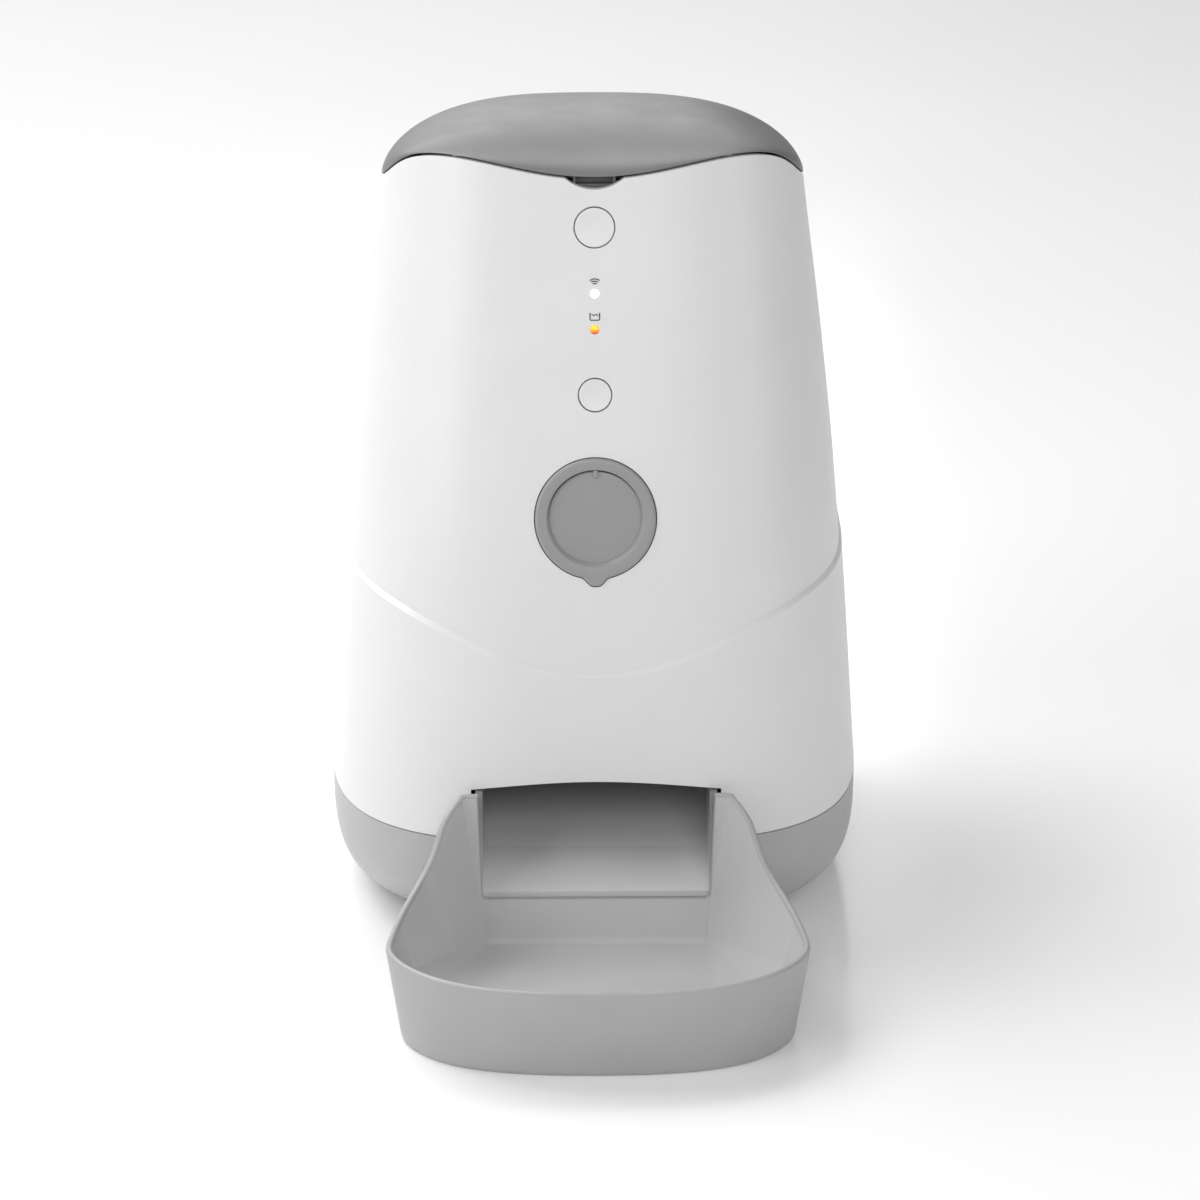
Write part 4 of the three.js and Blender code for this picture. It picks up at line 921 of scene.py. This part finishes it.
def print_band(centres, width):
    """A flat printed stroke of one width along a line of (x, z) points, just proud of the shell."""
    left, right = [], []
    for i, (x, z) in enumerate(centres):
        ax, az = centres[max(i - 1, 0)]
        bx, bz = centres[min(i + 1, len(centres) - 1)]
        length = hypot(bx - ax, bz - az)
        across = (-(bz - az) / length * width / 2, (bx - ax) / length * width / 2)
        left.append((x + across[0], z + across[1]))
        right.append((x - across[0], z - across[1]))
    outline = left + right[::-1]
    count = len(outline)
    strip = [(i, i + 1, count - 2 - i, count - 1 - i) for i in range(len(centres) - 1)]
    points = [(x, y, z) for y in (-0.05, 0.1) for x, z in outline]
    sides = [(i, (i + 1) % count, (i + 1) % count + count, i + count) for i in range(count)]
    far = [tuple(i + count for i in face)[::-1] for face in strip]
    return points, strip + far + sides


def printed(name, strokes, z):
    """One printed mark made of several strokes."""
    points, faces = [], []
    for centres, width in strokes:
        more_points, more_faces = print_band(centres, width)
        faces += [tuple(i + len(points) for i in face) for face in more_faces]
        points += more_points
    made = new_object(name, points, faces, PRINT, on_controls(z))
    finish_piece(made, "feeder_body", [])


def wifi_mark():
    strokes = [(arc((0, -0.9), radius, 48, 132, 14), 0.34) for radius in (0.9, 1.7, 2.5)]
    printed("wifi_mark", strokes, WIFI_MARK_Z)


def food_mark():
    half, top, bottom, corner = 1.65, 1.25, -1.25, 0.5
    left = arc((-half + corner, bottom + corner), corner, 180, 270, 6)
    right = arc((half - corner, bottom + corner), corner, 270, 360, 6)
    tub = [(-half, top), *left, *right, (half, top)]
    wave = [(x / 10, 0.55 + 0.22 * sin(x / 10 * 4.4)) for x in range(-12, 13)]
    printed("food_mark", [(tub, 0.36), (wave, 0.3)], FOOD_MARK_Z)


def port():
    rings = port_rings([(0.0, 4.5), (0.0, 0.15), (-0.08, 0.0), (-0.75, -0.52), (-0.95, -0.6), (-1.4, -0.62)])
    # Radius, depth and upward shift: the chamfer round the disc is widest at the bottom.
    inner = [(CAP_R + 0.9, -0.62, 0), (CAP_R + 0.6, -0.57, 0.02), (CAP_R + 0.45, -0.45, 0.06),
             (CAP_R - 0.25, 0.6, 0.66), (CAP_R - 0.28, 0.72, 0.68),
             (CAP_R + 0.3, 0.78, 0), (CAP_R + 0.3, 3.2, 0)]
    for r, y, up in inner:
        rings.append([(r * cos(a) - 0.25 * up, y, r * sin(a) + up) for a in angles(PORT_STEPS)])
    bezel = new_object("port_ring", *loft(rings), PORT_GREY, PORT)
    finish_piece(bezel, "feeder_body", ["port_bezel"], angle=40)

    edge = [(CAP_R - 1.2, 0.8), (CAP_R - 0.6, 0.84), (CAP_R - 0.2, 0.98), (CAP_R, 1.3), (CAP_R, 2.9)]
    profile = [(0, 0.8), *edge, (0, 2.9)]
    cap = new_object("port_disc", *turned(profile, 128), PORT_GREY, PORT)
    finish_piece(cap, "feeder_body", ["port_cap"])

    top = CAP_R + 0.3
    pip = [(0.8, CAP_R - 2.4), (0.1, CAP_R - 2.2), (-0.2, CAP_R - 1.6), (-0.2, top), (0.8, top)]
    nib = new_object("port_nib", *along_x(pip, -0.8, 0.8), PORT_GREY, PORT)
    bevel(nib, 0.25, 3)
    finish_piece(nib, "feeder_body", [])


# ---------------------------------------------------------------- carried-over nodes

# Material, record slot, bevel width and nodes.
CARRIED = [
    (LINER, "liner_plastic", 0.4, ["hopper", "lid_liner", "rotor_housing", "gear_cover", "desiccant_box",
                                   "desiccant_cover"]),
    (SEAL, "seal_rubber", 0.3, ["lid_seal"]),
    (CHUTE_GREY, "bowl_grey", 0.5, ["chute"]),
    (BASE_GREY, "base_grey", 0.3, ["rotor"]),
    (GEAR, "gear_plastic", 0.15, ["rotor_gear", "motor_pinion", "index_cam"]),
    (DARK, "dark_plastic", 0.25, ["wifi_plunger", "feed_plunger", "wifi_switch", "feed_switch",
                                  "index_switch", "level_emitter", "level_receiver"]),
    (STEEL, "steel", 0.15, ["hinge_pin", "latch_spring", "drive_motor", "radio_module", "base_screw_1",
                            "base_screw_2", "base_screw_3", "base_screw_4"]),
    (COPPER, "contact_metal", 0.15, ["contact_plate_left", "contact_plate_right"]),
    (BOARD, "circuit_board", 0.15, ["key_board", "main_board"]),
    (JACKET, "battery_jacket", 0.3, ["battery_1", "battery_2", "battery_3"]),
    (LENS_WHITE, "white_lens", 0.2, ["wifi_led"]),
    (LENS_AMBER, "amber_lens", 0.2, ["food_led"]),
]


def carry_over():
    """Gives each CAD node that stays its material, smooth round faces and softened edges."""
    for material, slot, width, names in CARRIED:
        for name in names:
            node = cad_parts[name]
            node.data.materials.clear()
            node.data.materials.append(material)
            smooth(node, 30)
            bevel(node, width)


# ---------------------------------------------------------------- studio


FLOOR_REACH = 20000
LIGHTS_AIM = (0, 0.04, 0.14)
# Name, place, size and power of each softbox, in metres and watts.
SOFTBOXES = [
    ("key", (-1.5, -0.9, 1.1), (1.0, 1.4), 12.8),
    ("front", (0.4, -2.4, 1.6), (1.4, 1.0), 16.8),
    ("top_left", (-1.0, 0.6, 1.7), (1.2, 1.2), 27),
    ("right", (1.7, -0.9, 0.9), (1.0, 1.4), 5.5),
    ("back", (-0.6, 2.2, 0.9), (1.9, 0.6), 8.5),
    ("back_high", (-0.1, 1.6, 2.6), (1.6, 1.2), 20),
    ("front_high", (-0.2, -1.2, 2.2), (1.2, 1.0), 4.8),
]


def floor():
    """A wide white floor with a faint glow of its own, so that it stays pale round the shadow."""
    made, tree, bsdf = new_material("studio_floor")
    where = object_coordinates(tree)
    pale = ramp(tree, noise(tree, where, 2), (0.3, (0.86, 0.86, 0.865)), (0.7, (0.88, 0.88, 0.88)))
    tree.links.new(pale, bsdf.inputs["Base Color"])
    tree.links.new(spread(tree, noise(tree, where, 5), 0.16, 0.2), bsdf.inputs["Roughness"])
    bsdf.inputs["Emission Color"].default_value = (1, 1, 1, 1)
    bsdf.inputs["Emission Strength"].default_value = 0.1
    corners = [(x * FLOOR_REACH, y * FLOOR_REACH, 0) for x, y in ((-1, -1), (1, -1), (1, 1), (-1, 1))]
    sheet = new_object("studio_floor", corners, [(0, 1, 2, 3)], made)
    if sheet.data.polygons[0].normal.z < 0:
        sheet.data.flip_normals()


def softbox(name, place, size, power):
    light = bpy.data.lights.new(name, "AREA")
    light.shape = "RECTANGLE"
    light.size, light.size_y = size
    light.energy = power
    made = bpy.data.objects.new(name, light)
    made.location = place
    made.rotation_euler = (Vector(LIGHTS_AIM) - Vector(place)).to_track_quat("-Z", "Y").to_euler()
    scene.collection.objects.link(made)


def lights():
    world = bpy.data.worlds.new("studio")
    world.use_nodes = True
    world.node_tree.nodes["Background"].inputs["Color"].default_value = (1, 1, 1, 1)
    world.node_tree.nodes["Background"].inputs["Strength"].default_value = 0.15
    scene.world = world
    for facts in SOFTBOXES:
        softbox(*facts)
    scene.view_settings.view_transform = "Standard"


# ---------------------------------------------------------------- assembly

body_shell()
hinge_knuckles()
base_housing()
feet()
power_inlet()
lid()
latch()
bowl()
button("wifi", WIFI_BUTTON_Z, WIFI_BUTTON_R, "wifi_key")
button("feed", FEED_BUTTON_Z, FEED_BUTTON_R, "feed_key")
lens("wifi", WIFI_LENS_Z, LENS_WHITE)
lens("food", FOOD_LENS_Z, LENS_AMBER)
wifi_mark()
food_mark()
port()
carry_over()
floor()
lights()
